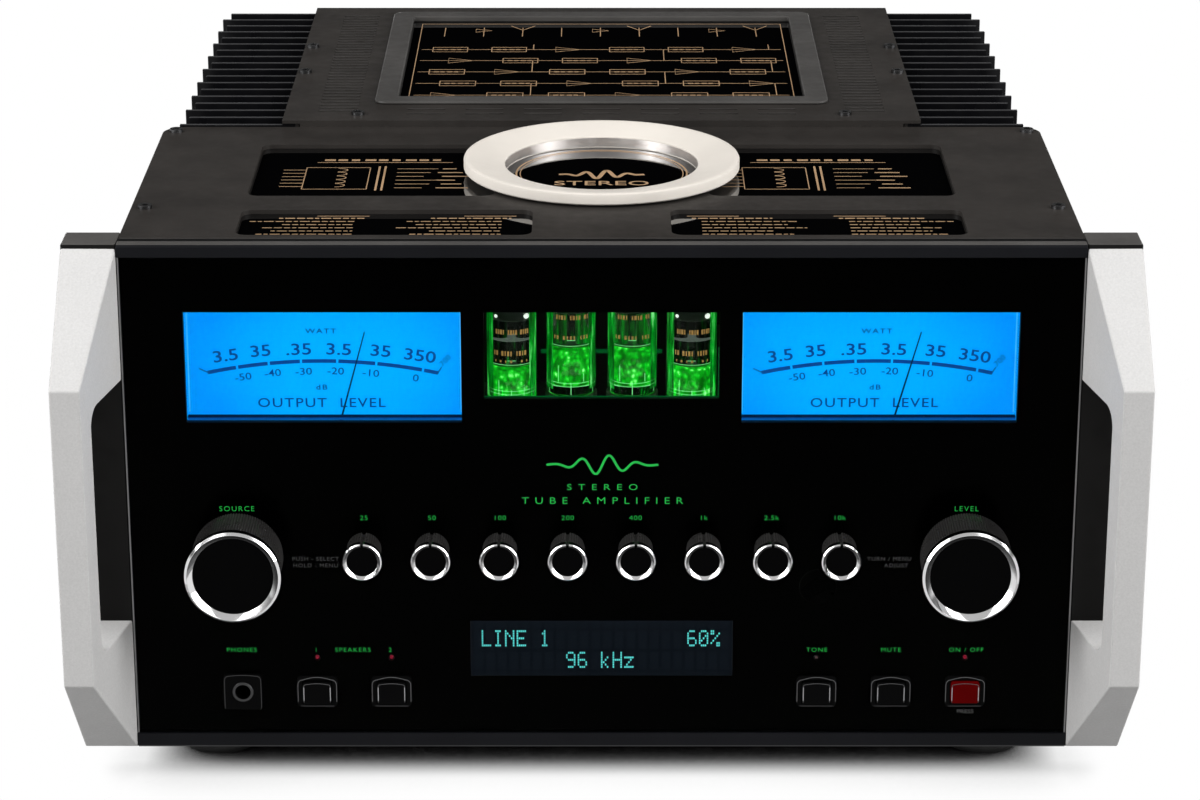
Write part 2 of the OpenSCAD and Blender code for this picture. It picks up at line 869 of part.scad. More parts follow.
// Laminated core with a winding that stands out at its front and back, on a foot plate
module transformer(x, w, h) {
    winding_out = 8;
    plate_t = 4;
    plate_edge = 6;
    rear_gap = 12;
    winding_w = w * 0.6;
    winding_h = h * 0.62;
    winding_corner = 8;
    mid_y = front_cover_y - rear_gap - core_d / 2;
    translate([x, mid_y, floor_z]) {
        translate([-w / 2 - plate_edge, -core_d / 2, 0]) cube([w + 2 * plate_edge, core_d, plate_t]);
        translate([-w / 2, -core_d / 2 + winding_out, plate_t]) cube([w, core_d - 2 * winding_out, h]);
        translate([0, core_d / 2, plate_t + h / 2]) rotate([90, 0, 0]) linear_extrude(core_d) {
            rounded_rect(winding_w, winding_h, winding_corner);
        }
    }
}

module power_transformer() {
    x = glass_half - core_inset - power_core_w / 2;
    color([0.2, 0.2, 0.22]) transformer(x, power_core_w, power_core_h);
}

module output_transformers() {
    core_gap = 18;
    spacing = output_core_w + core_gap;
    first_x = -(glass_half - core_inset - output_core_w / 2);
    color([0.24, 0.22, 0.2])
    for (i = [0, 1]) transformer(first_x + i * spacing, output_core_w, output_core_h);
}

module filter_capacitors() {
    cap_gap = 6;
    front_gap = 34;
    first_y = sink_y + front_gap;
    rim_w = 3;
    rim_h = 1.5;
    rows = [for (i = [0:2]) first_y + i * (2 * cap_r + cap_gap)];
    color([0.1, 0.16, 0.3])
    for (sx = [-1, 1], y = rows) translate([sx * (cap_r + cap_gap), y, floor_z]) rotate_extrude() polygon([
        [0, 0],
        [cap_r, 0],
        [cap_r, cap_h],
        [cap_r - rim_w, cap_h],
        [cap_r - rim_w, cap_h - rim_h],
        [0, cap_h - rim_h]
    ]);
}

module amplifier_boards() {
    device_d = 9;
    device_n = 5;
    device_w = 16;
    device_h = 22;
    device_up = 30;
    edge = 2;
    low_gap = 20;
    high_gap = 4;
    front_gap = 12;
    low = base_top + low_gap;
    high = rear_skin_z - flange_h - high_gap;
    front = sink_y + front_gap;
    back = preamp_y - front_gap;
    spacing = (back - front - device_w - 2 * edge) / (device_n - 1);
    x1 = sink_inner_x - device_d;
    color(colour_board)
    both_sides() {
        span([x1 - board_t, front, low], [x1, back, high]);
        for (i = [0:device_n - 1]) {
            y = front + edge + i * spacing;
            span([x1, y, low + device_up], [sink_inner_x, y + device_w, low + device_up + device_h]);
        }
    }
}

module preamp_board() {
    spacer_r = 3;
    edge = 7;
    side_margin = 16;
    low_margin = 26;
    high_margin = 18;
    half = phono_half + side_margin;
    low = phono_low - low_margin;
    high = phono_high + high_margin;
    color(colour_board) {
        span([-half, preamp_y - board_t, low], [half, preamp_y, high]);
        for (sx = [-1, 1], z = [low + edge, high - edge]) {
            translate([sx * (half - edge), 0, z]) bar_y(spacer_r, preamp_y, rear_panel_y);
        }
    }
}

// Tubes

function tube_place(i) = [
    [-outer_tube_x, outer_tube_y],
    [-inner_tube_x, outer_tube_y + tube_stagger],
    [inner_tube_x, outer_tube_y + tube_stagger],
    [outer_tube_x, outer_tube_y]
][i];

module at_tubes() {
    for (i = [0:3]) translate([tube_place(i)[0], tube_place(i)[1], tube_low]) children();
}

module tube_board() {
    half = tube_window_w / 2 + 2;
    back = outer_tube_y + tube_stagger + 2 * tube_r;
    lip_h = 10;
    color(colour_board) {
        span([-half, inside_y, tube_board_z], [half, back, tube_board_z + board_t]);
        span([-half, inside_y, tube_board_z - lip_h], [half, inside_y + sheet_t, tube_board_z]);
    }
}

module tube_sockets() {
    bore_r = 2;
    body_r = tube_r - 1;
    lip_r = tube_r + 0.5;
    lip_h = 3;
    color([0.85, 0.82, 0.74])
    at_tubes() translate([0, 0, -socket_h]) rotate_extrude() polygon([
        [bore_r, 0],
        [body_r, 0],
        [body_r, socket_h - lip_h],
        [lip_r, socket_h - lip_h],
        [lip_r, socket_h],
        [bore_r, socket_h]
    ]);
}

module tube_glass() {
    shoulder = tube_l - tube_r * 0.75;
    dome_h = tube_r * 0.62;
    tip_r = 2.2;
    color([0.8, 0.95, 0.85, 0.3])
    at_tubes() difference() {
        union() {
            cylinder(r = tube_r, h = shoulder);
            translate([0, 0, shoulder]) intersection() {
                sphere(tube_r);
                cylinder(r = tube_r, h = dome_h);
            }
            cylinder(r = tip_r, h = tube_l);
        }
        translate([0, 0, -past]) cylinder(r = tube_r - tube_wall, h = shoulder + past);
    }
}

module tube_electrodes() {
    base_r = tube_r - tube_wall - running_fit;
    anode_w = 7;
    anode_d = 5;
    mica_t = 0.6;
    mica_fit = 0.8;
    stem_h = 2.5;
    anode_x = anode_w * 0.62;
    anode_low = tube_l * 0.16;
    anode_h = tube_l * 0.44;
    wire_r = 0.7;
    color([0.45, 0.45, 0.46])
    at_tubes() {
        cylinder(r = base_r, h = stem_h);
        for (z = [anode_low - mica_t, anode_low + anode_h]) {
            translate([0, 0, z]) cylinder(r = base_r - mica_fit, h = mica_t);
        }
        for (sx = [-1, 1]) {
            translate([sx * anode_x - anode_w / 2, -anode_d / 2, anode_low]) {
                cube([anode_w, anode_d, anode_h]);
            }
            translate([sx * anode_x, 0, 0]) cylinder(r = wire_r, h = anode_low);
        }
    }
}

// Meters

module at_meters() {
    for (sx = [-1, 1]) translate([sx * meter_x, 0, 0]) children();
}

module meter_cases() {
    half = meter_w / 2 + case_margin;
    color(colour_black)
    at_meters() difference() {
        span([-half, inside_y, meter_case_low], [half, meter_case_back, meter_case_high]);
        span(
            [-half + meter_wall, inside_y - past, meter_case_low + meter_wall],
            [half - meter_wall, meter_case_back - meter_wall, meter_case_high - meter_wall]
        );
    }
}

module meter_dials() {
    half = meter_w / 2 + case_margin - meter_wall;
    below_pivot = 4;
    hole_r = pivot_r + 1;
    color([0, 0.5, 0.95])
    at_meters() difference() {
        span([-half, dial_y, pivot_z - below_pivot], [half, dial_y + dial_t, meter_case_high - meter_wall]);
        translate([0, 0, pivot_z]) bar_y(hole_r, dial_y - past, dial_y + dial_t + past);
    }
}

module meter_movements() {
    block_w = 30;
    block_h = 12;
    pivot_out = 0.4;
    color([0.5, 0.5, 0.52])
    at_meters() {
        span(
            [-block_w / 2, dial_y + dial_t, pivot_z - block_h / 2],
            [block_w / 2, meter_case_back - meter_wall, pivot_z + block_h / 2]
        );
        translate([0, 0, pivot_z]) bar_y(pivot_r, needle_y - pivot_out, dial_y + dial_t);
    }
}

module needle(side) {
    tail = needle_hub_r + 2;
    color(colour_black)
    translate([side * meter_x, 0, pivot_z]) rotate([0, needle_angle, 0]) difference() {
        union() {
            bar_y(needle_hub_r, needle_y, needle_y + needle_hub_l);
            translate([-needle_w / 2, needle_y, -tail]) cube([needle_w, needle_t, needle_l + tail]);
        }
        bar_y(pivot_r + running_fit, needle_y - past, needle_y + needle_hub_l + past);
    }
}

module left_needle() {
    needle(-1);
}

module right_needle() {
    needle(1);
}

// Display, sensor and lamps

module display_module() {
    color([0.03, 0.05, 0.07]) {
        span(
            [-display_w / 2 - display_margin, inside_y, display_low - display_margin],
            [display_w / 2 + display_margin, inside_y + display_d, display_high + display_margin]
        );
        span(
            [-display_w / 2 + panel_fit, subpanel_y, display_low + panel_fit],
            [display_w / 2 - panel_fit, inside_y, display_high - panel_fit]
        );
    }
}

module indicator_lenses() {
    color([0.8, 0.05, 0.05])
    for (x = lamp_x) translate([x, 0, lamps_z]) bar_y(lamp_r, subpanel_y, subpanel_y + lamp_l);
}

module remote_sensor() {
    color([0.12, 0.03, 0.04])
    translate([sensor_x, 0, sensor_z]) bar_y(sensor_r, subpanel_y, subpanel_y + sensor_l);
}

module headphone_jack() {
    corner = 2;
    color(colour_black)
    translate([jack_x, 0, row_z]) difference() {
        union() {
            upright(-jack_out, 0) rounded_rect(jack_w, jack_w, corner);
            bar_y(jack_barrel_r, 0, inside_y);
            upright(inside_y, jack_l) square(jack_w, center = true);
        }
        bar_y(jack_bore_r, -jack_out - past, jack_l - jack_floor);
    }
}

module button_bezels() {
    corner = 2.4;
    color(colour_black)
    for (x = button_x) translate([x, 0, row_z]) difference() {
        union() {
            upright(-bezel_out, 0) rounded_rect(bezel_w, bezel_h, corner);
            upright(0, inside_y) square([sleeve_w, sleeve_h], center = true);
        }
        upright(-bezel_out - past, inside_y + past) square([hole_w, hole_h], center = true);
    }
}

// Button with its stem, and a keeper behind the sub-panel that holds it in
module push_button(i, tint) {
    stem_end = control_board_y - switch_h - button_travel - push_room;
    cap_back = 3;
    corner = 1.4;
    color(tint)
    translate([button_x[i], 0, row_z]) {
        upright(-button_out, cap_back) rounded_rect(button_w, button_h, corner);
        bar_y(stem_r, cap_back, stem_end);
        upright(inside_y + button_fit, inside_y + button_fit + keeper_t) {
            square([keeper_w, keeper_h], center = true);
        }
    }
}

// Controls behind the panel

module pot_body(x, z, w) {
    translate([x, 0, z]) difference() {
        union() {
            upright(pot_y, control_board_y) square(w, center = true);
            bar_y(bush_r, 0, pot_y);
        }
        bar_y(shaft_r + running_fit, -past, shaft_end + selector_travel + push_room);
    }
}

module control_pots() {
    color([0.55, 0.55, 0.56]) {
        for (x = tone_x) pot_body(x, tone_z, pot_w);
        for (sx = [-1, 1]) pot_body(sx * big_x, big_z, encoder_w);
    }
}

module control_board() {
    spacer_r = 2.5;
    edge = 6;
    spacer_x = [tone_pitch * 4.6, control_board_half - edge];
    jack_hole = [jack_w + 2, 4 * board_t, jack_w + 2];
    color(colour_board) {
        difference() {
            span(
                [-control_board_half, control_board_y, control_board_low],
                [control_board_half, control_board_y + board_t, control_board_high]
            );
            translate([jack_x, control_board_y, row_z]) cube(jack_hole, center = true);
        }
        for (sx = [-1, 1], x = spacer_x) {
            translate([sx * x, 0, control_board_high - edge]) bar_y(spacer_r, inside_y, control_board_y);
        }
        for (x = button_x) translate([x, 0, row_z]) {
            upright(control_board_y - switch_h, control_board_y) square(switch_w, center = true);
        }
    }
}

// Knob as one turned piece, with a bright rim round a recessed dark disc
module knob_body(r, l, disc_r) {
    turned_front(-knob_gap, [
        [0, 0],
        [r - rim_step, 0],
        [r - rim_step, l - rim_l],
        [r, l - rim_l],
        [r, l - rim_round],
        [r - rim_round, l],
        [disc_r, l - disc_recess / 2],
        [disc_r, l - disc_recess],
        [0, l - disc_recess]
    ]);
}

module input_shaft() {
    color(colour_silver)
    translate([-big_x, 0, big_z]) bar_y(shaft_r, -knob_front + shaft_cover, shaft_end);
}

module input_knob() {
    color(colour_black)
    translate([-big_x, 0, big_z]) difference() {
        knob_body(big_knob_r, big_knob_l, big_disc_r);
        bar_y(shaft_r + running_fit, -knob_front + shaft_cover - running_fit, past);
    }
}

module volume_knob() {
    color(colour_black)
    translate([big_x, 0, big_z]) {
        knob_body(big_knob_r, big_knob_l, big_disc_r);
        bar_y(shaft_r, -knob_gap, shaft_end);
    }
}

module tone_knob(i) {
    mark_w = 1;
    mark_depth = 0.5;
    mark_low = tone_disc_r * 0.45;
    mark_l = tone_disc_r * 0.5;
    color(colour_black)
    translate([tone_x[i], 0, tone_z]) {
        difference() {
            knob_body(tone_knob_r, tone_knob_l, tone_disc_r);
            translate([-mark_w / 2, -knob_gap - tone_knob_l - past, mark_low]) {
                cube([mark_w, disc_recess + mark_depth + past, mark_l]);
            }
        }
        bar_y(shaft_r, -knob_gap, shaft_end);
    }
}

// Rear sockets

module speaker_posts() {
    collar_r = post_r + 1.5;
    neck_r = post_r - 3;
    neck_end = post_collar + 4;
    bevel = 1;
    plug_r = 2.05;
    plug_depth = 12;
    shank_l = 10;
    color([0.75, 0.62, 0.25])
    for (sx = [-1, 1], x = post_x) translate([sx * x, 0, post_z]) {
        turned_back(case_d, [
            [0, 0],
            [collar_r, 0],
            [collar_r, post_collar],
            [neck_r, post_collar],
            [neck_r, neck_end],
            [post_r, neck_end],
            [post_r, post_l - bevel],
            [post_r - bevel, post_l],
            [plug_r, post_l],
            [plug_r, post_l - plug_depth],
            [0, post_l - plug_depth]
        ]);
        bar_y(post_shank_r, rear_panel_y - shank_l, case_d);
    }
}

module phono_jacks() {
    collar_l = 1.5;
    collar_r = phono_r + 2.4;
    bore_r = 1.7;
    floor_t = 4;
    body_l = case_d - preamp_y;
    color([0.75, 0.62, 0.25])
    for (x = phono_x, z = phono_z) translate([x, 0, z]) turned_back(preamp_y, [
        [0, 0],
        [phono_r, 0],
        [phono_r, body_l],
        [collar_r, body_l],
        [collar_r, body_l + collar_l],
        [phono_r, body_l + collar_l],
        [phono_r, body_l + phono_l],
        [bore_r, body_l + phono_l],
        [bore_r, floor_t],
        [0, floor_t]
    ]);
}

module balanced_sockets() {
    flange_t = 2;
    flange_w = 2 * balanced_r + 4;
    flange_l = 2 * balanced_r + 9;
    corner = 3;
    body_l = 14;
    pin_hole_r = 1.3;
    pin_circle_r = 3.9;
    pin_depth = 10;
    color([0.5, 0.5, 0.52])
    for (x = balanced_x) translate([x, 0, balanced_z]) difference() {
        union() {
            upright(case_d, case_d + flange_t) rounded_rect(flange_w, flange_l, corner);
            bar_y(balanced_r, rear_panel_y - body_l, case_d);
        }
        for (a = [30, 150, 270]) rotate([0, a, 0]) translate([pin_circle_r, 0, 0]) {
            bar_y(pin_hole_r, case_d - pin_depth, case_d + flange_t + past);
        }
    }
}

module mains_inlet() {
    flange_t = 3;
    flange_h = inlet_h + 7;
    corner = 3;
    back = case_d + flange_t;
    pin_w = 2;
    pin_h = 4;
    pin_places = [[-7, -1], [0, 3], [7, -1]];
    color(colour_black)
    translate([0, 0, post_z]) {
        difference() {
            union() {
                upright(case_d, back) rounded_rect(inlet_flange_w, flange_h, corner);
                upright(back - inlet_d, case_d) square([inlet_w, inlet_h], center = true);
            }
            upright(back - inlet_depth, back + past) {
                square([inlet_w - 2 * inlet_wall, inlet_h - 2 * inlet_wall], center = true);
            }
        }
        for (place = pin_places) {
            translate([place[0] - pin_w / 2, back - inlet_depth, place[1] - pin_h / 2]) {
                cube([pin_w, inlet_pin_l, pin_h]);
            }
        }
    }
}

in_frame() chassis_tray();
in_frame() feet();
in_frame() front_subpanel();
in_frame() front_glass();
in_frame() upper_rail();
in_frame() lower_rail();
in_frame() left_handle();
in_frame() right_handle();
in_frame() handle_brackets();
in_frame() transformer_cover();
in_frame() cover_glass();
in_frame() emblem_ring();
in_frame() rear_cover();
in_frame() diagram_frame();
in_frame() diagram_glass();
in_frame() left_heat_sink();
in_frame() right_heat_sink();
in_frame() rear_panel();
in_frame() cover_screws();
in_frame() power_transformer();
in_frame() output_transformers();
in_frame() filter_capacitors();
in_frame() amplifier_boards();
in_frame() preamp_board();
in_frame() tube_board();
in_frame() tube_sockets();
in_frame() tube_glass();
in_frame() tube_electrodes();
in_frame() meter_cases();
in_frame() meter_dials();
in_frame() meter_movements();
in_frame() display_module();
in_frame() headphone_jack();
in_frame() button_bezels();
in_frame() indicator_lenses();
in_frame() remote_sensor();
in_frame() control_pots();
in_frame() control_board();
in_frame() speaker_posts();
in_frame() phono_jacks();
in_frame() balanced_sockets();
in_frame() mains_inlet();
in_frame() input_shaft();
in_frame() input_knob();
in_frame() volume_knob();
in_frame() tone_knob(0);  // tone_knob_1
in_frame() tone_knob(1);  // tone_knob_2
in_frame() tone_knob(2);  // tone_knob_3
in_frame() tone_knob(3);  // tone_knob_4
in_frame() tone_knob(4);  // tone_knob_5
in_frame() tone_knob(5);  // tone_knob_6
in_frame() tone_knob(6);  // tone_knob_7
in_frame() tone_knob(7);  // tone_knob_8
in_frame() push_button(0, colour_black);  // speaker_button_1
in_frame() push_button(1, colour_black);  // speaker_button_2
in_frame() push_button(2, colour_black);  // tone_button
in_frame() push_button(3, colour_black);  // mute_button
in_frame() push_button(4, [0.5, 0, 0.02]);  // power_button
in_frame() left_needle();
in_frame() right_needle();
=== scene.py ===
"""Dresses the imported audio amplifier: materials, prints and finer pieces on the CAD frame."""
import json
from math import atan2, cos, degrees, exp, hypot, pi, radians, sin, sqrt

import bmesh
import bpy
from mathutils import Matrix, Vector


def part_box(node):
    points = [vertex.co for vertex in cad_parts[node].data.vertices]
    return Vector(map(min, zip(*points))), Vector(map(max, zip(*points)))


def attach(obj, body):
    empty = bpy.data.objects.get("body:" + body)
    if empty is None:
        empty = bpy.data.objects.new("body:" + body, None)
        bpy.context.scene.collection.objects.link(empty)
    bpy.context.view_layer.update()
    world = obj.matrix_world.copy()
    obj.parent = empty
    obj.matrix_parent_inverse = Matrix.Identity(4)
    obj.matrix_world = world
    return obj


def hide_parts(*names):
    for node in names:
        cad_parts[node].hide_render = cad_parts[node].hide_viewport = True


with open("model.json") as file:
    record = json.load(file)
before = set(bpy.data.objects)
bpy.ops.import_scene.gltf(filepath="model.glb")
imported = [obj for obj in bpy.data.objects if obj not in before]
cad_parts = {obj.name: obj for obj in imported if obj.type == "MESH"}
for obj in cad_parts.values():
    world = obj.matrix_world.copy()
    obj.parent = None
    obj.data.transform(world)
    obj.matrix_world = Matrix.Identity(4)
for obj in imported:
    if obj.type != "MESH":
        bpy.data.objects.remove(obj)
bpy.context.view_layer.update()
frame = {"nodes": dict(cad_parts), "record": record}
nodes = frame["nodes"]
paints = {}

MM = 0.001
BODY = "amplifier"
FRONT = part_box("front_glass")[0].y
SIDES = (-1, 1)
HANDS = (("left", -1), ("right", 1))
EVEN = (1, 1, 1)
BUTTONS = ("speaker_button_1", "speaker_button_2", "tone_button", "mute_button", "power_button")


def extent(node):
    """Lowest and highest corner of a node, in millimetres from the face of the glass."""
    low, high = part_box(node)
    shift = Vector((0, FRONT, 0))
    return (low - shift) / MM, (high - shift) / MM


def middle(node):
    """X and Z of a node's middle and Y of its front, in the same measure."""
    low, high = extent(node)
    return (low.x + high.x) / 2, low.y, (low.z + high.z) / 2


def show(name, data):
    """A new object in the scene."""
    made = bpy.data.objects.new(name, data)
    bpy.context.scene.collection.objects.link(made)
    return made


# Materials

class Nodes:
    """Builds a tree of shader nodes."""

    def __init__(self, tree):
        self.tree = tree

    def node(self, kind, inputs=(), **settings):
        """A new node. Sockets among its inputs are linked, other values are set."""
        made = self.tree.nodes.new("ShaderNode" + kind)
        for key, value in settings.items():
            setattr(made, key, value)
        for key, value in dict(inputs).items():
            if isinstance(value, bpy.types.NodeSocket):
                self.link(value, made.inputs[key])
            else:
                made.inputs[key].default_value = value
        return made

    def link(self, source, target):
        self.tree.links.new(source, target)

    def coords(self, stretch=EVEN):
        """Object coordinates in metres, stretched."""
        where = self.node("TexCoord").outputs["Object"]
        return self.node("Mapping", {"Vector": where, "Scale": stretch}).outputs["Vector"]

    def axes(self):
        """Object coordinates one by one."""
        return self.node("SeparateXYZ", {"Vector": self.coords()}).outputs

    def noise(self, scale, detail=2, stretch=EVEN, harsh=0.5):
        values = {"Scale": scale, "Detail": detail, "Roughness": harsh, "Vector": self.coords(stretch)}
        return self.node("TexNoise", values).outputs["Fac"]

    def cells(self, scale, stretch=EVEN):
        return self.node("TexVoronoi", {"Scale": scale, "Vector": self.coords(stretch)}).outputs["Distance"]

    def span(self, source, low, high, out_low=0, out_high=1):
        ends = {"Value": source, "From Min": low, "From Max": high, "To Min": out_low, "To Max": out_high}
        return self.node("MapRange", ends).outputs["Result"]

    def math(self, operation, a, b=0):
        return self.node("Math", {0: a, 1: b}, operation=operation).outputs[0]

    def ramp(self, source, *stops):
        made = self.node("ValToRGB", {"Fac": source})
        ends = made.color_ramp.elements
        while len(ends) < len(stops):
            ends.new(0.5)
        for end, (at, colour) in zip(ends, stops):
            end.position = at
            end.color = (*colour, 1)
        return made.outputs["Color"]

    def background_rays(self, mirrored=1):
        """1 for rays that see the background, 0 for light; mirrored is the share of glossy rays."""
        path = self.node("LightPath").outputs
        gloss = self.math("MULTIPLY", path["Is Glossy Ray"], mirrored)
        straight = self.math("MAXIMUM", path["Is Camera Ray"], path["Is Transmission Ray"])
        return self.math("MAXIMUM", straight, gloss)


class Finish(Nodes):
    """A procedural material around one Principled shader, kept in paints."""

    def __init__(self, name, colour, rough=0.5, metal=0, gloss=0.5):
        paints[name] = bpy.data.materials.new(name)
        paints[name].use_nodes = True
        super().__init__(paints[name].node_tree)
        self.shader = self.tree.nodes["Principled BSDF"]
        self.colour = colour
        self.put("Base Color", (*colour, 1))
        self.put("Roughness", rough)
        self.put("Metallic", metal)
        self.put("Specular IOR Level", gloss)

    def put(self, socket, value):
        self.shader.inputs[socket].default_value = value

    def clear(self, ior, tint):
        """Lets light through, with tinted reflections."""
        self.put("IOR", ior)
        self.put("Transmission Weight", 1)
        self.put("Specular Tint", (*tint, 1))

    def shade(self, socket, source, *stops):
        """Colours a socket by a ramp."""
        self.link(self.ramp(source, *stops), self.shader.inputs[socket])

    def tint(self, source, amount):
        """Varies the colour by a share around its own value."""
        dark = [c * (1 - amount) for c in self.colour]
        pale = [min(1, c * (1 + amount)) for c in self.colour]
        self.shade("Base Color", source, (0.3, dark), (0.7, pale))

    def glow(self, strength, source, *stops):
        """Light given off, coloured by a ramp."""
        self.put("Emission Strength", strength)
        self.shade("Emission Color", source, *stops)

    def roughen(self, source, low, high):
        self.link(self.span(source, 0.3, 0.7, low, high), self.shader.inputs["Roughness"])

    def bump(self, source, strength, depth):
        values = {"Strength": strength, "Distance": depth * MM, "Height": source}
        self.link(self.node("Bump", values).outputs["Normal"], self.shader.inputs["Normal"])


def coated(name, colour, rough, grain, depth, metal=0, gloss=0.5, shift=0.15, stretch=EVEN, fleck=0):
    """Fine-grained finish; fleck is the share of fine grain in the colour."""
    made = Finish(name, colour, rough, metal, gloss)
    tone = made.noise(grain * 0.02, 3)
    if fleck:
        fine = made.math("MULTIPLY", made.noise(grain * 0.45, 3), fleck)
        tone = made.math("ADD", made.math("MULTIPLY", tone, 1 - fleck), fine)
    made.tint(tone, shift)
    made.roughen(made.noise(grain * 0.1, 2, stretch), rough - 0.06, rough + 0.08)
    made.bump(made.noise(grain, 3, stretch), 0.5, depth)


def lit(name, colour, base, shift=0.1, strength=1):
    """Print, lamp or painted light that glows a little unevenly."""
    made = Finish(name, base, 0.45, gloss=0.05)
    made.tint(made.noise(900, 2), shift)
    made.glow(strength, made.noise(420, 2), (0.3, [c * 0.82 for c in colour]), (0.7, colour))


def knob_disc():
    """Turned black face with very fine arcs."""
    made = Finish("disc_black", (0.0006, 0.0006, 0.0007), 0.32, gloss=0.02)
    values = {"Scale": 90, "Distortion": 1.5, "Vector": made.coords()}
    wave = made.node("TexWave", values, wave_type="RINGS", rings_direction="Y")
    made.roughen(made.noise(900, 2), 0.29, 0.37)
    made.tint(made.noise(120, 3), 0.12)
    made.bump(wave.outputs["Fac"], 0.25, 0.01)


def dial_face():
    """Backlit blue plate, a little darker towards its edges."""
    made = Finish("dial_blue", (0, 0.05, 0.15), 0.6, gloss=0)
    brightest = abs(middle("left_needle")[0]) * MM
    axes = made.axes()
    side = made.math("ABSOLUTE", made.math("SUBTRACT", made.math("ABSOLUTE", axes["X"]), brightest))
    top = made.span(axes["Z"], 0.196, 0.211, 0, 0.35)
    foot = made.span(axes["Z"], 0.174, 0.163, 0, 0.2)
    dim = made.math("ADD", made.math("ADD", made.span(side, 0.02, 0.062), top), foot)
    dim = made.math("ADD", dim, made.span(made.noise(35, 3), 0.3, 0.7, -0.08, 0.08))
    made.glow(1, dim, (0, (0, 0.40, 1)), (0.45, (0, 0.36, 0.98)), (1, (0, 0.28, 0.9)))


def tube_envelope():
    """Clear glass that carries green light from its foot, in streaks and sparkles."""
    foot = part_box("tube_glass")[0].z
    made = Finish("tube_glass", (0.93, 1, 0.94), 0.02)
    made.clear(1.47, (0.05, 0.06, 0.05))
    height = made.span(made.axes()["Z"], foot + 0.008, foot + 0.046)
    fade = made.math("ADD", made.math("POWER", made.math("SUBTRACT", 1, height), 1.3), 0.09)
    fine = made.span(made.noise(620, 6, (1, 1, 0.7), 0.75), 0.57, 0.7)
    streak = made.span(made.noise(460, 5, (1, 1, 0.12), 0.7), 0.55, 0.72)
    mixed = made.math("ADD", made.math("MULTIPLY", fine, 0.3), made.math("MULTIPLY", streak, 0.5))
    light = made.math("ADD", made.math("MULTIPLY", fade, mixed), made.math("MULTIPLY", streak, 0.12))
    made.glow(
        1.7, light,
        (0.1, (0, 0, 0)), (0.32, (0, 0.07, 0.003)),
        (0.65, (0, 0.5, 0.02)), (1, (0.35, 1, 0.4)),
    )
    made.bump(made.noise(170, 2, (1, 1, 0.4)), 0.3, 0.15)


def tube_core():
    """Green light in the foot of a tube, broken up by glass and wires."""
    made = Finish("tube_glow", (0.01, 0.2, 0.02), 0.3)
    cloud = made.span(made.noise(300, 4, (1, 1, 0.6), 0.6), 0.3, 0.7, 0, 0.55)
    facet = made.span(made.cells(460, (1, 1, 0.75)), 0, 0.6, 0.45, 0)
    made.glow(
        1.1, made.math("ADD", cloud, facet),
        (0.14, (0, 0.05, 0)), (0.38, (0, 0.26, 0.004)), (0.6, (0.01, 0.56, 0.02)),
        (0.8, (0.25, 1, 0.25)), (0.95, (0.8, 1, 0.8)),
    )
    made.bump(made.cells(420), 0.6, 0.4)


def tube_streaks(name, dim):
    """Green light that runs up in streaks, dimmed by a share of their range."""
    made = Finish(name, (0.01, 0.03, 0.012), 0.3)
    streak = made.math("SUBTRACT", made.noise(430, 5, (1, 1, 0.12), 0.7), dim)
    made.glow(
        1, streak,
        (0.36, (0, 0.006, 0)), (0.48, (0, 0.11, 0.004)),
        (0.58, (0, 0.34, 0.02)), (0.72, (0.3, 0.95, 0.35)),
    )
    made.bump(streak, 0.3, 0.2)


def display_face():
    """Smoked display with faint cells that aren't lit."""
    made = Finish("display_glass", (0.004, 0.007, 0.011), 0.25)
    turn = made.node("Mapping", {"Vector": made.coords(), "Rotation": (radians(-90), 0, 0)})
    brick = made.node("TexBrick", {
        "Color1": (0.0046, 0.0068, 0.0098, 1), "Color2": (0.0042, 0.0063, 0.009, 1),
        "Mortar": (0.003, 0.0046, 0.0068, 1), "Scale": 1, "Mortar Size": 0.0007,
        "Brick Width": 0.005, "Row Height": 0.0096, "Vector": turn.outputs["Vector"],
    }, offset=0, squash=1)
    for socket in ("Base Color", "Emission Color"):
        made.link(brick.outputs["Color"], made.shader.inputs[socket])
    made.put("Emission Strength", 1)


def solder_mask():
    """Green board with paler tracks."""
    made = Finish("board_green", (0.02, 0.13, 0.06), 0.4)
    cells = made.cells(130)
    made.shade("Base Color", cells, (0.02, (0.05, 0.22, 0.11)), (0.08, (0.018, 0.11, 0.05)))
    made.bump(cells, 0.3, 0.1)


def laminated_core():
    """Varnished core: a stack of thin sheets."""
    made = Finish("core_iron", (0.05, 0.045, 0.043), 0.45, 0.5)
    wave = made.node("TexWave", {"Scale": 320, "Vector": made.coords()}, bands_direction="Y")
    made.tint(made.noise(60, 3), 0.3)
    made.bump(wave.outputs["Fac"], 0.5, 0.2)


def front_plate():
    """Clear coated glass, with the faintest haze in its gloss."""
    made = Finish("front_glass", (1, 1, 1), 0)
    made.clear(1.45, (0.01, 0.0105, 0.012))
    made.roughen(made.noise(40, 3), 0, 0.015)


def black_mirror():
    """Polished black glass with very slight waves."""
    made = Finish("print_glass", (0.0012, 0.0012, 0.0014), 0.03)
    made.put("IOR", 2.1)
    made.roughen(made.noise(60, 3), 0.015, 0.045)
    made.bump(made.noise(12, 1), 0.05, 0.05)


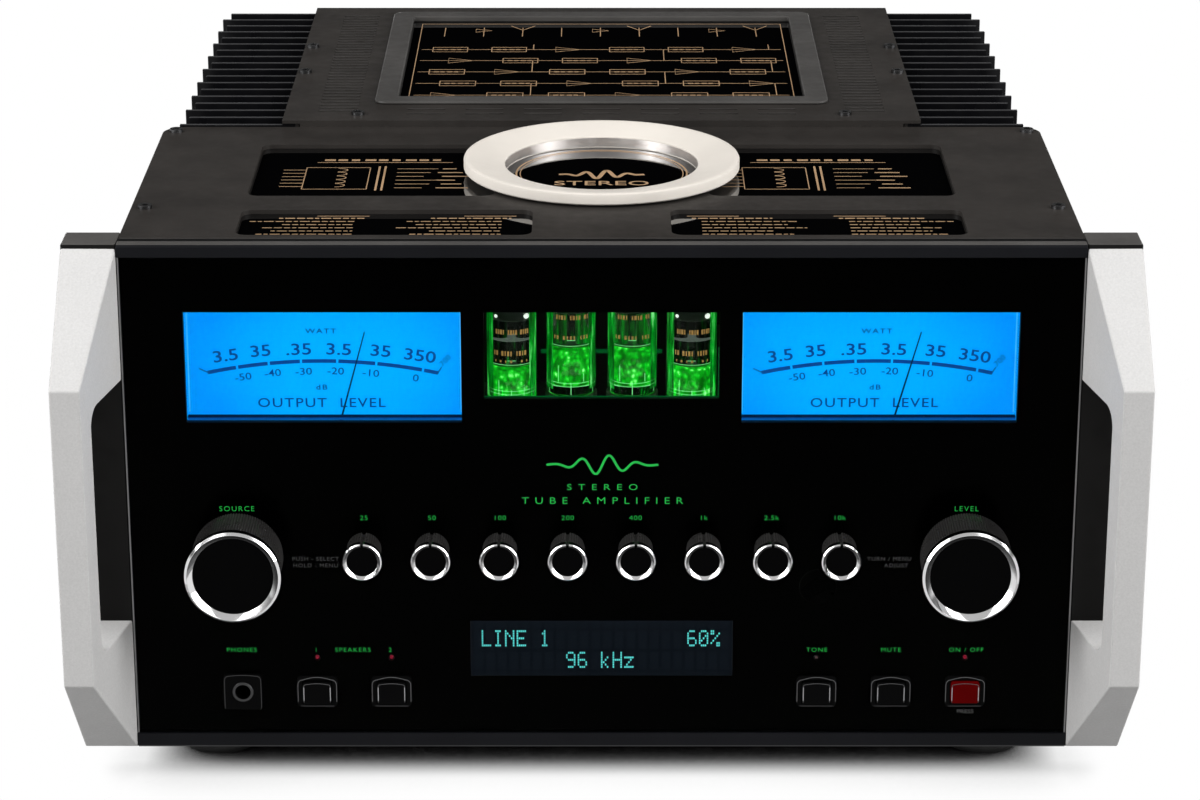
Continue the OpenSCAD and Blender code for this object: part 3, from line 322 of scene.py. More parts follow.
# Name, colour, roughness, grain per metre, depth in millimetres, metal, gloss, shift, stretch, fleck
for row in (
    ("chassis_steel", (0.42, 0.42, 0.43), 0.3, 900, 0.02, 1, 0.5, 0.15, (1, 0.05, 1)),
    ("foot_rubber", (0.018, 0.018, 0.018), 0.75, 1500, 0.08),
    ("panel_black", (0.002, 0.002, 0.0022), 0.5, 1800, 0.02, 0, 0.1),
    ("bracket_black", (0.004, 0.0038, 0.0036), 0.42, 1500, 0.04, 0, 0.1),
    ("rail_dark", (0.005, 0.0053, 0.0068), 0.34, 1400, 0.012, 0.05, 0.08, 0.15, (0.06, 1, 1)),
    # Lighter paint for the upward faces of the brackets and upper trim: painted sheen
    ("rail_top", (0.066, 0.063, 0.06), 0.4, 1400, 0.02, 0, 0.2),
    ("handle_silver", (0.54, 0.534, 0.529), 0.46, 2600, 0.05, 0.1, 0.1, 0.07, EVEN, 0.8),
    ("cover_paint", (0.0235, 0.0208, 0.0188), 0.5, 1700, 0.07, 0, 0.15, 0.22),
    ("frame_paint", (0.05, 0.0475, 0.045), 0.42, 1700, 0.06, 0, 0.3, 0.18),
    ("ring_champagne", (0.67, 0.627, 0.572), 0.4, 2400, 0.02, 0, 0.03, 0.03),
    ("bore_silver", (0.74, 0.71, 0.69), 0.42, 1400, 0.01, 1, 0.5, 0.03),
    ("sink_black", (0.003, 0.003, 0.0037), 0.3, 900, 0.03, 0, 0.2, 0.15, (1, 1, 0.04)),
    ("screw_steel", (0.12, 0.12, 0.123), 0.3, 1800, 0.02, 1),
    ("capacitor_sleeve", (0.02, 0.04, 0.13), 0.35, 700, 0.02),
    ("socket_ceramic", (0.09, 0.1, 0.085), 0.5, 900, 0.03),
    ("electrode_metal", (0.006, 0.008, 0.006), 0.45, 1300, 0.03, 0.2, 0.1),
    ("lamp_dark", (0.03, 0.004, 0.004), 0.3, 900, 0.02),
    ("sensor_red", (0.006, 0.002, 0.0025), 0.25, 800, 0.01),
    ("knob_black", (0.026, 0.025, 0.0245), 0.3, 1600, 0.03),
    ("knob_chrome", (0.7, 0.7, 0.705), 0.1, 700, 0.002, 1, 0.5, 0.05, (1, 0.1, 1)),
    ("button_black", (0.001, 0.001, 0.0011), 0.33, 1500, 0.02, 0, 0.03),
    ("button_red", (0.12, 0.0004, 0.0008), 0.45, 1500, 0.02, 0, 0.02),
    ("needle_black", (0.001, 0.012, 0.06), 0.5, 900, 0.01, 0, 0.02),
    ("contact_gold", (0.78, 0.55, 0.2), 0.22, 900, 0.01, 1, 0.5, 0.08),
    ("zinc_cast", (0.05, 0.05, 0.052), 0.36, 900, 0.04, 0.6),
    ("ink_gold", (0.45, 0.29, 0.165), 0.5, 1400, 0.01, 0.2, 0.1),
    ("ink_grey", (0.4, 0.4, 0.4), 0.6, 1400, 0.01),
    ("ink_dim", (0.085, 0.085, 0.085), 0.6, 1400, 0.01),
    # Outline paints: painted highlights along edges; the dimmest also colours the phone nut
    ("edge_grey", (0.09, 0.09, 0.092), 0.3, 900, 0.02, 0.4),
    ("edge_dim", (0.03, 0.03, 0.031), 0.4, 900, 0.02, 0.4),
    ("edge_bright", (0.34, 0.34, 0.35), 0.3, 900, 0.02, 0.4),
    # Pale paint for edge strips on the covers: painted highlight
    ("edge_paint", (0.05, 0.047, 0.045), 0.4, 1500, 0.03, 0, 0.3),
    # Grey paint for the strips at the glass ends: painted highlight
    ("seam_grey", (0.16, 0.16, 0.16), 0.35, 1500, 0.02, 0.5),
    # Paler paint for the strips on the fin tops: painted highlight
    ("fin_edge", (0.035, 0.035, 0.037), 0.35, 900, 0.03, 0, 0.3),
    ("post_red", (0.4, 0.01, 0.01), 0.4, 900, 0.02),
    ("sleeve_white", (0.7, 0.7, 0.68), 0.45, 900, 0.02),
):
    coated(*row)

# Name, colour of the light, colour without it, shift, strength
for row in (
    ("lamp_red", (0.15, 0.008, 0.02), (0.08, 0, 0.005)),
    ("ink_green", (0.014, 0.34, 0.05), (0.01, 0.16, 0.03)),
    ("ink_navy", (0, 0.04, 0.24), (0, 0.01, 0.05)),
    ("display_teal", (0.1, 0.6, 0.57), (0.02, 0.2, 0.2)),
    # From here down, painted light: glows along window edges, on tube parts and the board, and painted
    # highlights
    ("rim_blue", (0.06, 0.5, 1), (0, 0.05, 0.15)),
    ("sill_blue", (0, 0.075, 0.33), (0, 0.01, 0.05)),
    ("mark_gold", (0.2, 0.12, 0.03), (0.2, 0.13, 0.05), 0.4),
    ("mica_grey", (0.075, 0.09, 0.08), (0.05, 0.055, 0.05), 0.4),
    ("board_glow", (0, 0.07, 0.012), (0, 0.02, 0.004), 0.4),
    ("hoop_green", (0.22, 0.8, 0.3), (0.02, 0.2, 0.04), 0.6),
    ("bead_white", (0.9, 0.95, 0.9), (0.9, 0.95, 0.9), 0.1, 1.1),
):
    lit(*row)

for finish in (
    knob_disc, dial_face, tube_envelope, tube_core, display_face,
    solder_mask, laminated_core, front_plate, black_mirror,
):
    finish()
# Painted glows for the tube sides and the inner anodes
tube_streaks("tube_wall", 0)
tube_streaks("anode_green", 0.1)

for row in frame["record"]["subparts"]:
    slots = nodes[row["node"]].data.materials
    slots.clear()
    slots.append(paints[row["material_slot"]])


# Mesh building, in millimetres with Y from the face of the glass

PRINT = 0.05
CAPITAL = 0.7
BOX_FACES = [(0, 2, 3, 1), (4, 5, 7, 6), (0, 1, 5, 4), (2, 6, 7, 3), (0, 4, 6, 2), (1, 3, 7, 5)]


def loft(rings, loop):
    """Points and faces of a skin over rings of points, closed into a loop or capped at both ends."""
    n, count = len(rings[0]), len(rings)
    faces = []
    for i in range(count if loop else count - 1):
        a, b = i * n, (i + 1) % count * n
        faces += [(a + k, b + k, b + (k + 1) % n, a + (k + 1) % n) for k in range(n)]
    if not loop:
        faces += [tuple(range(n)), tuple(reversed(range((count - 1) * n, count * n)))]
    return [v for ring in rings for v in ring], faces


class Shape:
    """Gathers faces into one piece. Flat marks lie on a front, top or rear plane through a point."""

    def __init__(self, plane="front", at=(0, 0, 0)):
        self.plane, self.at = plane, at
        self.verts, self.faces = [], []

    def add(self, verts, faces):
        start = len(self.verts)
        self.verts += [tuple(v) for v in verts]
        self.faces += [tuple(start + i for i in face) for face in faces]
        return self

    def block(self, low, high):
        xs, ys, zs = zip(low, high)
        return self.add([(x, y, z) for z in zs for y in ys for x in xs], BOX_FACES)

    def turned(self, centre, profile, steps, axis="y", start=0, sweep=360):
        """Revolves a closed profile of radius and place along the axis; angle 0 is upwards on a front."""
        x, y, z = centre
        whole = sweep >= 360
        rings = []
        for i in range(steps if whole else steps + 1):
            a = radians(start + sweep * i / steps)
            s, c = sin(a), cos(a)
            if axis == "y":
                rings.append([(x + r * s, y + along, z + r * c) for r, along in profile])
            else:
                rings.append([(x + r * s, y + r * c, z + along) for r, along in profile])
        return self.add(*loft(rings, whole))

    def knurled(self, x, z, r, depth, y0, y1, teeth, groove, groove_depth):
        """Round body with teeth along Y from y0 to y1 and a groove of some degrees at its top."""
        rings = []
        for y, less in ((y0, -0.5), (y0 + 0.5, 0), (y1 - 0.3, 0), (y1, -0.3)):
            ring = []
            for i in range(2 * teeth):
                a = pi * i / teeth
                off = degrees(min(a, 2 * pi - a))
                radius = r + less - (groove_depth if off < groove else depth * (i % 2))
                ring.append((x + radius * sin(a), y, z + radius * cos(a)))
            rings.append(ring)
        return self.add(*loft(rings, False))

    def flat(self, verts, faces, u=0, v=0, angle=0):
        """Adds marks with thickness w, turned and moved by u and v on the shape's plane."""
        s, c = sin(radians(angle)), cos(radians(angle))
        x, y, z = self.at
        out = []
        for a, b, w in verts:
            a, b = u + a * c + b * s, v + b * c - a * s
            if self.plane == "front":
                out.append((x + a, y - w, z + b))
            elif self.plane == "top":
                out.append((x + a, y + b, z + w))
            else:
                out.append((x - a, y + w, z + b))
        return self.add(out, faces)

    def band(self, points, width, u=0, v=0, closed=False):
        """Printed line of some width along points."""
        pts = [Vector(p) for p in points]
        last = len(pts) - 1
        corners = ((-1, 0), (-1, PRINT), (1, PRINT), (1, 0))
        rings = []
        for i, p in enumerate(pts):
            before = pts[i - 1] if closed or i else p
            after = pts[(i + 1) % len(pts)] if closed or i < last else p
            along = after - before
            side = Vector((-along.y, along.x)).normalized() * width / 2
            rings.append([(p.x + k * side.x, p.y + k * side.y, w) for k, w in corners])
        return self.flat(*loft(rings, closed), u, v)

    def box_line(self, u0, v0, u1, v1, width):
        """Printed outline of a box."""
        for pair in (((u0, v0), (u1, v0)), ((u1, v0), (u1, v1)), ((u1, v1), (u0, v1)), ((u0, v1), (u0, v0))):
            self.band(pair, width)

    def words(self, text, tall, u, v, stretch, angle=0, weight=0, spread=1):
        """Lettering whose capitals are so many millimetres tall."""
        curve = bpy.data.curves.new("words", "FONT")
        curve.body = text
        curve.size = tall / CAPITAL
        curve.align_x = curve.align_y = "CENTER"
        curve.extrude = PRINT / 2
        curve.offset = weight
        curve.space_character = spread
        curve.resolution_u = 3
        holder = show("words", curve)
        mesh = bpy.data.meshes.new_from_object(holder.evaluated_get(bpy.context.evaluated_depsgraph_get()))
        verts = [(p.co.x * stretch, p.co.y, p.co.z + PRINT / 2) for p in mesh.vertices]
        faces = [tuple(p.vertices) for p in mesh.polygons]
        bpy.data.curves.remove(curve)
        bpy.data.meshes.remove(mesh)
        return self.flat(verts, faces, u, v, angle)

    def piece(self, name, paint, slot=None, smooth=35, body=BODY, replaces=()):
        """Makes the piece. Its slot argument is not used."""
        mesh = bpy.data.meshes.new(name)
        points = [(x * MM, FRONT + y * MM, z * MM) for x, y, z in self.verts]
        mesh.from_pydata(points, [], self.faces)
        return finish_piece(name, mesh, paint, body, smooth, replaces)


def finish_piece(name, mesh, paint, body, smooth, replaces):
    """Cleans a mesh, links it and ties it to its body."""
    work = bmesh.new()
    work.from_mesh(mesh)
    bmesh.ops.remove_doubles(work, verts=work.verts, dist=1e-6)
    bmesh.ops.recalc_face_normals(work, faces=work.faces)
    for face in work.faces:
        face.smooth = smooth > 0
    work.to_mesh(mesh)
    work.free()
    if smooth > 0:
        mesh.set_sharp_from_angle(angle=radians(smooth))
    mesh.materials.append(paints[paint])
    made = show(name, mesh)
    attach(made, body)
    if replaces:
        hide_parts(*replaces)
    return made


def softened(node, name, width, segments, paint, slot=None, body=BODY):
    """The node's own shape with its sharp edges rounded by so many millimetres."""
    work = bmesh.new()
    work.from_mesh(nodes[node].data)
    bmesh.ops.remove_doubles(work, verts=work.verts, dist=2e-6)
    bmesh.ops.dissolve_limit(work, angle_limit=radians(1), verts=work.verts, edges=work.edges)
    sharp = [e for e in work.edges if e.is_manifold and e.calc_face_angle(0) > radians(30)]
    rounding = {"offset": width * MM, "segments": segments, "profile": 0.5, "affect": "EDGES"}
    bmesh.ops.bevel(work, geom=sharp, clamp_overlap=True, **rounding)
    mesh = bpy.data.meshes.new(name)
    work.to_mesh(mesh)
    work.free()
    made = finish_piece(name, mesh, paint, body, 40, (node,))
    even = made.modifiers.new("even", "WEIGHTED_NORMAL")
    even.keep_sharp = True
    return made


# Pieces that keep their CAD shape, with rounded edges

for side in ("left", "right"):
    softened(side + "_handle", side + "_handle_body", 0.7, 3, "handle_silver")
    softened(side + "_heat_sink", side + "_fins", 0.25, 2, "sink_black")
# Upward faces of the bracket plates and the upper trim take a lighter paint: painted sheen
for made in (
    softened("handle_brackets", "bracket_plates", 0.6, 2, "bracket_black", "panel_black"),
    softened("upper_rail", "upper_trim", 0.45, 3, "rail_dark"),
):
    made.data.materials.append(paints["rail_top"])
    for face in made.data.polygons:
        if face.normal.z > 0.9:
            face.material_index = 1
for row in (
    ("lower_rail", "lower_trim", 0.35, 2, "rail_dark"),
    ("transformer_cover", "front_hood", 0.5, 2, "cover_paint"),
    ("rear_cover", "rear_hood", 0.4, 2, "cover_paint"),
    ("diagram_frame", "raised_border", 1.2, 4, "frame_paint"),
    ("cover_screws", "hood_screws", 0.35, 2, "screw_steel"),
    ("button_bezels", "button_surrounds", 0.45, 3, "button_black", "knob_black"),
    ("headphone_jack", "phone_socket", 0.5, 3, "button_black", "knob_black"),
    ("mains_inlet", "power_inlet", 0.4, 2, "knob_black"),
    ("feet", "rubber_feet", 0.8, 3, "foot_rubber"),
):
    softened(*row)
for name in BUTTONS:
    paint = "button_red" if name == "power_button" else "button_black"
    softened(name, name + "_cap", 0.7, 3, paint, body=name)

# Painted highlights: paler strips along the upper edges of the fins
fin_root, fin_outside = 146.5, 150
for side, sign in HANDS:
    points = [v.co for v in nodes[side + "_heat_sink"].data.vertices]
    corners = [(abs(p.x) / MM, (p.y - FRONT) / MM, p.z / MM) for p in points if abs(p.x) / MM > fin_outside]
    fin_top = max(z for x, y, z in corners)
    tops = {}
    for x, y, z in corners:
        if abs(z - fin_top) < 0.01:
            tops[round(y, 2)] = max(tops.get(round(y, 2), 0), x)
    rows = sorted(tops)
    fins = Shape()
    for y0, y1 in zip(rows[::2], rows[1::2]):
        ends = sorted((sign * fin_root, sign * (tops[y0] - 0.3)))
        fins.block((ends[0], y0 + 0.25, fin_top - 0.05), (ends[1], y1 - 0.25, fin_top + 0.06))
    fins.piece(side + "_fin_edges", "fin_edge", "sink_black")

# Round ring on the front cover
low, high = extent("emblem_ring")
ring = [(low.x + high.x) / 2, (low.y + high.y) / 2, low.z]
ring_r = (high.x - low.x) / 2
ring_h = high.z - low.z
bore_r = ring_r - 18.1
seat_r = bore_r + 4.8
foot = ring_h - 6
crown = ((0, 1), (0.3, 0.3), (1, 0), (2.2, 0), (3, 0.15))
profile = [(bore_r, 0), (seat_r, 0), (seat_r, foot + 0.7)]
profile += [(ring_r - less, foot + up) for less, up in ((1.6, 0.7), (0.5, 1), (0, 1.6))]
profile += [(ring_r - less, ring_h - down) for less, down in crown]
profile += [(bore_r + more, ring_h - down) for more, down in ((0.6, 2.85), (0.1, 3.1), (0, 3.5))]
Shape().turned(ring, profile, 192, axis="z").piece("ring_body", "ring_champagne", replaces=("emblem_ring",))
inner, outer = bore_r - 0.15, bore_r + 0.2
lining = [(inner, 0.5), (outer, 0.5), (outer, ring_h - 3.5), (inner, ring_h - 3.6)]
Shape().turned(ring, lining, 192, axis="z").piece("ring_bore", "bore_silver", "ring_champagne")

# Knobs


def knob(node, name, teeth, rim, disc_r, groove):
    """Knurled body, bright conical rim and dark disc of one knob, which is its own body."""
    low, high = extent(node)
    x, front, z = middle(node)
    r = (high.x - low.x) / 2
    wide = r - disc_r
    cone = 0.66 * wide
    grip = Shape().knurled(x, z, r - 0.9, 0.55, front + rim - 0.2, min(-1.5, high.y), teeth, groove, 1.1)
    grip.piece(name + "_grip", "knob_black", smooth=0, body=node, replaces=(node,))
    face = ((0.36, 0.04), (0.33, 0), (0.29, 0), (0.26, 0.03), (0, 0.3))
    profile = [(disc_r, cone + 0.2), (disc_r, cone)]
    profile += [(r - share * wide, deep * wide) for share, deep in face]
    profile += [(r, rim - 0.3), (r - 0.25, rim), (disc_r, rim)]
    collar = Shape().turned((x, front, z), profile, 144, start=groove, sweep=360 - 2 * groove)
    collar.piece(name + "_rim", "knob_chrome", smooth=30, body=node)
    edge = disc_r - 0.1
    disc = [(0, cone + 0.15), (disc_r * 0.9, cone + 0.1), (edge, cone), (edge, rim), (0, rim)]
    Shape().turned((x, front, z), disc, 72).piece(name + "_disc", "disc_black", "knob_black", body=node)


knob("input_knob", "source", 104, 4.5, 16.9, 0)
knob("volume_knob", "level", 104, 4.5, 16.9, 0)
for i in range(1, 9):
    knob("tone_knob_%d" % i, "tone_%d" % i, 42, 3.6, 6.5, 4.5)

# Tubes, with heights from the foot of the glass

low, high = extent("tube_glass")
tube_r = 10.5
tube_l = high.z - low.z
wall = 0.8
spacer_t = 0.6
mica_z = 28.2
crown_z = 37
inner_x = 13
front_row, back_row = low.y + tube_r, high.y - tube_r
outer_tubes = [(low.x + tube_r, front_row), (high.x - tube_r, front_row)]
inner_tubes = [(-inner_x, back_row), (inner_x, back_row)]

# Piece: paint, slot, smoothing angle, nodes that it replaces
TUBE_PIECES = {
    "envelopes": ("tube_glass", None, 60, "tube_glass"), "lights": ("tube_glow", None, 60),
    "anodes": ("electrode_metal", None, 50, "tube_electrodes"),
    "inner_anodes": ("anode_green", "electrode_metal", 50), "spacers": ("socket_ceramic", None, 50),
    "micas": ("mica_grey", "socket_ceramic", 50), "walls": ("tube_wall", "tube_glow", 50),
    "hoops": ("hoop_green", "tube_glow", 35), "collars": ("electrode_metal", None, 35),
    "marks": ("mark_gold", "ink_gold", 0), "beads": ("bead_white", "tube_glow", 35),
}
tubes = {name: Shape() for name in TUBE_PIECES}


def spin(name, x, y, profile, steps, **arc):
    """Adds a form turned about an upright axis to one of the pieces."""
    tubes[name].turned((x, y, low.z), profile, steps, axis="z", **arc)


def disc(r, z):
    """Profile of a thin round plate with a blunt edge."""
    return [(0, z), (r - 0.3, z), (r, z + spacer_t / 2), (r - 0.3, z + spacer_t), (0, z + spacer_t)]


def hoop(r, z, fat=0.22):
    """Profile of a thin ring."""
    return [(r, z), (r + fat, z + fat / 2), (r, z + fat), (r - fat, z + fat / 2)]


def rod(r, z0, z1):
    """Profile of a thin wire with a pointed end."""
    return [(0, z0), (r, z0), (r, z1 - 0.4), (0, z1)]


def envelope_profile():
    """Outside and inside of a tube's glass, from the foot over the dome and back."""
    bore = tube_r - wall
    foot = [(0, 0), (tube_r - 1.4, 0), (tube_r - 0.4, 0.6), (tube_r, 2)]
    dome = [(tube_r, 9), (tube_r - 0.5, 6.6), (tube_r - 2, 4.3), (5.4, 2.6), (3, 1.8), (1.9, 1), (0.9, 0.1)]
    dome += [(0, 0), (0, 3), (3, 3.2), (5, 3.9), (bore - 1.6, 5.4), (bore, 9)]
    return foot + [(r, tube_l - down) for r, down in dome] + [(bore, 2.4), (bore - 1.2, 1.2), (0, 1.2)]


def glow_profile(foot, top):
    """Bowl of light between the foot of a tube and its lower spacer."""
    sides = ((8.2, 0.02), (9, 0.09), (9.2, 0.35), (8.8, 0.65), (7.6, 0.88), (5.6, 0.98))
    return [(0, foot)] + [(r, foot + share * (top - foot)) for r, share in sides] + [(0, top)]


def anodes(name, x, y, z0, z1):
    """Two round plates with wings, side by side, and a support rod behind each."""
    plate = [(0, z0), (2.9, z0), (3.1, z0 + 0.4), (3.1, z1 - 0.4), (2.9, z1), (0, z1)]
    for k in SIDES:
        cx = x + 3.9 * k
        spin(name, cx, y, plate, 24)
        for wing in SIDES:
            at = y + wing * 4.6
            corner = (cx - 0.25, at - 1.4, low.z + z0 + 0.6)
            tubes[name].block(corner, (cx + 0.25, at + 1.4, low.z + z1 - 0.6))
        spin(name, cx, y + 5.2, rod(0.4, z0, z1 + 1.5), 12)


def glass_mark(x, y, turn, wide, z, tall):
    """Short upright stroke printed on the glass, some radians from its front."""
    verts = []
    ends = (turn - wide / 2, turn + wide / 2)
    for r in (tube_r + 0.02, tube_r + 0.1):
        for up in (low.z + z, low.z + z + tall):
            verts += [(x + r * sin(a), y - r * cos(a), up) for a in ends]
    tubes["marks"].add(verts, BOX_FACES)


# Rows of strokes: height, length, count
outer_marks = ((31.8, 2.1, 15), (22.4, 2.1, 13), (19.4, 1, 7))
inner_marks = ((35, 1.9, 13), (26.2, 1.7, 11))
for x, y in outer_tubes + inner_tubes:
    outer = y == front_row
    foot, spacer = (2, 17.4) if outer else (5, 22.4)
    spin("envelopes", x, y, envelope_profile(), 48)
    spin("lights", x, y, glow_profile(foot, spacer - 0.2), 40)
    for z in (spacer, crown_z):
        spin("spacers", x, y, disc(8.6, z), 28)
    if outer:
        anodes("anodes", x, y, spacer + spacer_t, mica_z)
        # The mica disc carries a painted grey sheen
        spin("micas", x, y, disc(8.2, mica_z), 28)
        anodes("anodes", x, y, mica_z + spacer_t, crown_z)
    else:
        # Inner anodes carry a painted green glow
        anodes("inner_anodes", x, y, spacer + spacer_t, crown_z)
        spin("collars", x, y, [(8.4, 1.3), (9.2, 1.3), (9.2, 4.6), (8.4, 4.6)], 40)
    # Painted glow: thin linings along the left and right sides of the glass
    lining = [(9.4, 3), (9.55, 3), (9.55, tube_l - 9.5), (9.4, tube_l - 9.5)]
    for start in (50, 230):
        spin("walls", x, y, lining, 12, start=start, sweep=80)
    # Rings and leads carry a painted green glow
    for r, z in ((9.45, 4.9), (9.4, 6.4), (8.85, spacer + spacer_t)):
        spin("hoops", x, y, hoop(r, z), 40)
    for k in range(11):
        turn = 2 * pi * (k + 0.5) / 11
        z0 = 1.4 if k % 2 else foot + 2
        lead = rod(0.16, z0, z0 + 4 + 1.7 * ((5 * k) % 4))
        spin("hoops", x + 9.38 * sin(turn), y + 9.38 * cos(turn), lead, 8)
    # Gold strokes printed on the glass, with a faint painted glow
    for row, (z, tall, count) in enumerate(outer_marks if outer else inner_marks):
        for k in range(count):
            if (7 * k + row) % 5:
                turn = radians(-44 + 88 * (k + 0.5) / count)
                glass_mark(x, y, turn, (0.045, 0.075, 0.05, 0.085)[k % 4], z, tall)
# Painted highlights: small white glowing beads near the tops of the outer tubes
for x, y in outer_tubes:
    for k, r in ((-1, 0.7), (1, 1.1)):
        ball = [(r * sin(pi * a / 8), 38.6 - r * cos(pi * a / 8)) for a in range(9)]
        spin("beads", x + 5.2 * k, y - 5, ball, 14)
for name, (paint, slot, smooth, *stood_for) in TUBE_PIECES.items():
    tubes[name].piece("tube_" + name, paint, slot, smooth, replaces=stood_for)

# Green light spread on the board and along the edge of the tube window
wash = Shape()
board_top = extent("tube_board")[1].z
window_x, window_z = 48.9, 171.7
for x, y in outer_tubes + inner_tubes:
    wash.turned((x, y, board_top), [(9.8, 0), (13.2, 0), (13, 0.25), (9.8, 0.25)], 40, axis="z")
wash.block((-window_x, 7, window_z), (window_x, 7.5, window_z + 0.45))
wash.block((window_x - 0.4, 7, window_z), (window_x, 7.5, window_z + 22))
wash.block((-26, 56, 174.4), (26, 56.4, 176.2))
wash.piece("tube_wash", "board_glow", "tube_glow")

# Meter dials, drawn about the needles' pivots

meter_x = 115.99
pivot_z = 136.2
dial_y = extent("meter_dials")[0].y
scale_r, scale_top, scale_shift = 225, 49.1, 1.2


def on_scale(u):
    """Point of the curved scale."""
    return u, scale_top - scale_r + sqrt(scale_r ** 2 - (u + scale_shift) ** 2)


def dial_print(name, x):
    """Scale, numbers and words of one dial."""
    ink = Shape(at=(x, dial_y, pivot_z))
    marks = [-49, -36.6, -23.3, -9.8, 5.4, 21.7, 41.2, 47.6]
    for a, b in zip(marks, marks[1:]):
        a += 0.45 if a > marks[0] else 0
        b -= 0.45 if b < marks[-1] else 0
        ink.band([on_scale(a + (b - a) * k / 8) for k in range(9)], 1.6)
    ink.band([on_scale(-48.8), (-52.6, 45.8)], 0.5)
    ink.band([on_scale(47.4), (49, 46.4)], 0.5)
    for text, u, v, tilt in (
        ("3.5", -41.3, 51.2, -8), ("35", -26.6, 53.3, -5), (".35", -10.6, 54, -2), ("3.5", 6.1, 54, 2),
        ("35", 23.6, 53.3, 5), ("350", 39.9, 51.2, 8),
    ):
        ink.words(text, 5, u, v, 1.3, tilt, 0.08)
    ink.words("700", 2.4, 50.6, 49.2, 1.1, -48)
    for text, u, v, tilt in (
        ("-50", -34.2, 41.9, -8), ("-40", -21.8, 43.6, -5), ("-30", -8.8, 44.3, -2), ("-20", 4.6, 44.5, 2),
        ("-10", 19.3, 43.6, 5), ("0", 38.1, 41.4, 9),
    ):
        ink.words(text, 3.1, u, v, 1.25, tilt, 0.03)
    ink.words("WATT", 2.1, -1.2, 62.2, 1.3, 0, 0.05, 1.25)
    ink.words("dB", 2.2, -1.4, 37.4, 1.3, 0, 0.05, 1.25)
    ink.words("OUTPUT  LEVEL", 4.1, -1.6, 30.4, 1.15, 0, 0.05, 1.15)
    ink.piece(name, "ink_navy", smooth=0)


for side, sign in HANDS:
    dial_print(side + "_scale", sign * meter_x)

# Dark foot of each meter window, and a painted glow on its pale lip and along the bright rim of the dial
sill = Shape()
lip = Shape()
rim = Shape()
rim_x, rim_top, sill_x, sill_top = 57, 209, 57.3, 162.8
for x in (-meter_x, meter_x):
    rim.block((x - 56.9, dial_y - 0.3, rim_top), (x + 56.9, dial_y, rim_top + 0.4))
    for k in SIDES:
        rim.block((x + k * rim_x - 0.2, dial_y - 0.3, sill_top), (x + k * rim_x + 0.2, dial_y, rim_top))
    sill.block((x - sill_x, 8.2, 161.3), (x + sill_x, 10.4, sill_top))
    lip.block((x - sill_x, 8.05, 161.25), (x + sill_x, 8.3, 162.2))
sill.piece("meter_sills", "needle_black", "ink_navy")
lip.piece("meter_lips", "sill_blue", "ink_navy")
rim.piece("meter_rims", "rim_blue", "dial_blue")

# Slim needles, tapered from the hub to the tip
hub_half, tip_half, needle_t = 0.5, 0.24, 0.35
for side, sign in HANDS:
    node, x = side + "_needle", sign * meter_x
    low, high = extent(node)
    across, up = high.x - x, high.z - pivot_z
    hub = Vector((x, low.y + 0.2, pivot_z))
    ends = ((0, hub_half), (hypot(across, up) - 0.3, tip_half))
    turn = Matrix.Rotation(atan2(across, up), 3, "Y")
    needle = Shape()
    corners = [(k * half, d, z) for z, half in ends for d in (0, needle_t) for k in SIDES]
    needle.add([turn @ Vector(c) + hub for c in corners], BOX_FACES)
    back = high.y - hub.y
    needle.turned(hub, [(0, -0.4), (2, -0.4), (2.6, 0), (2.6, back), (0, back)], 32)
    needle.piece(side + "_pointer", "needle_black", body=node, replaces=(node,))

# Lettering on the glass

face = (0, -0.01, 0)
label = Shape(at=face)
big_x = middle("volume_knob")[0]
row_z, small = 59.2, 2
for text, x, z, tall in (
    ("SOURCE", -big_x, 123.7, 2.3), ("LEVEL", big_x, 123.7, 2.3), ("PHONES", -big_x, row_z, small),
    ("SPEAKERS", -106.1, row_z, small), ("1", -121.8, row_z, small), ("2", -90.2, row_z, small),
    ("TONE", 91.8, row_z, small), ("MUTE", 123.4, row_z, small), ("ON / OFF", 155.5, row_z, small),
):
    label.words(text, tall, x, z, 1.05, 0, -0.045, 1.22)
for i, text in enumerate(("25", "50", "100", "200", "400", "1k", "2.5k", "10k"), 1):
    label.words(text, 2.1, middle("tone_knob_%d" % i)[0], 119.6, 1.15, 0, -0.045, 1.1)
label.words("STEREO", 2.7, 0.3, 133.4, 1.3, 0, -0.03, 2)
label.words("TUBE AMPLIFIER", 3, 0.3, 127.3, 1.25, 0, -0.03, 1.85)
wave = [
    (0.78 * k, 4.4 * sin(pi * (k + 30) / 7.5) * exp(-(k / 16) ** 2))
    for k in range(-30, 31)
]
label.band(wave, 1, 0.3, 143.6)
label.piece("front_lettering", "ink_green", smooth=0)

hint = Shape(at=face)
for text, x, z in (
    ("PUSH - SELECT", -121, 101), ("HOLD - MENU", -121, 98),
    ("TURN / MENU", 121.6, 101), ("ADJUST", 124.6, 98),
):
    hint.words(text, 1.7, x, z, 1.1, 0, -0.02, 1.15)
hint.words("PRESS", 1.7, 156, 30.5, 1.2)
hint.piece("hint_lettering", "ink_dim", "ink_grey", smooth=0)

# Indicator lamps: three lit, one dark
lamps = Shape()
dark = Shape()
lens = middle("indicator_lenses")
dome = [(0, 0), (0.45, 0.05), (0.75, 0.25), (0.75, 4.8), (0, 4.8)]
for node in BUTTONS:
    if node != "mute_button":
        target = dark if node == "tone_button" else lamps
        target.turned((middle(node)[0], *lens[1:]), dome, 24)
lamps.piece("lit_lamps", "lamp_red", replaces=("indicator_lenses",))
dark.piece("dark_lamp", "lamp_dark", "lamp_red")

# Painted highlights: fine pale lines along the edges of the buttons, their surrounds and the phone socket


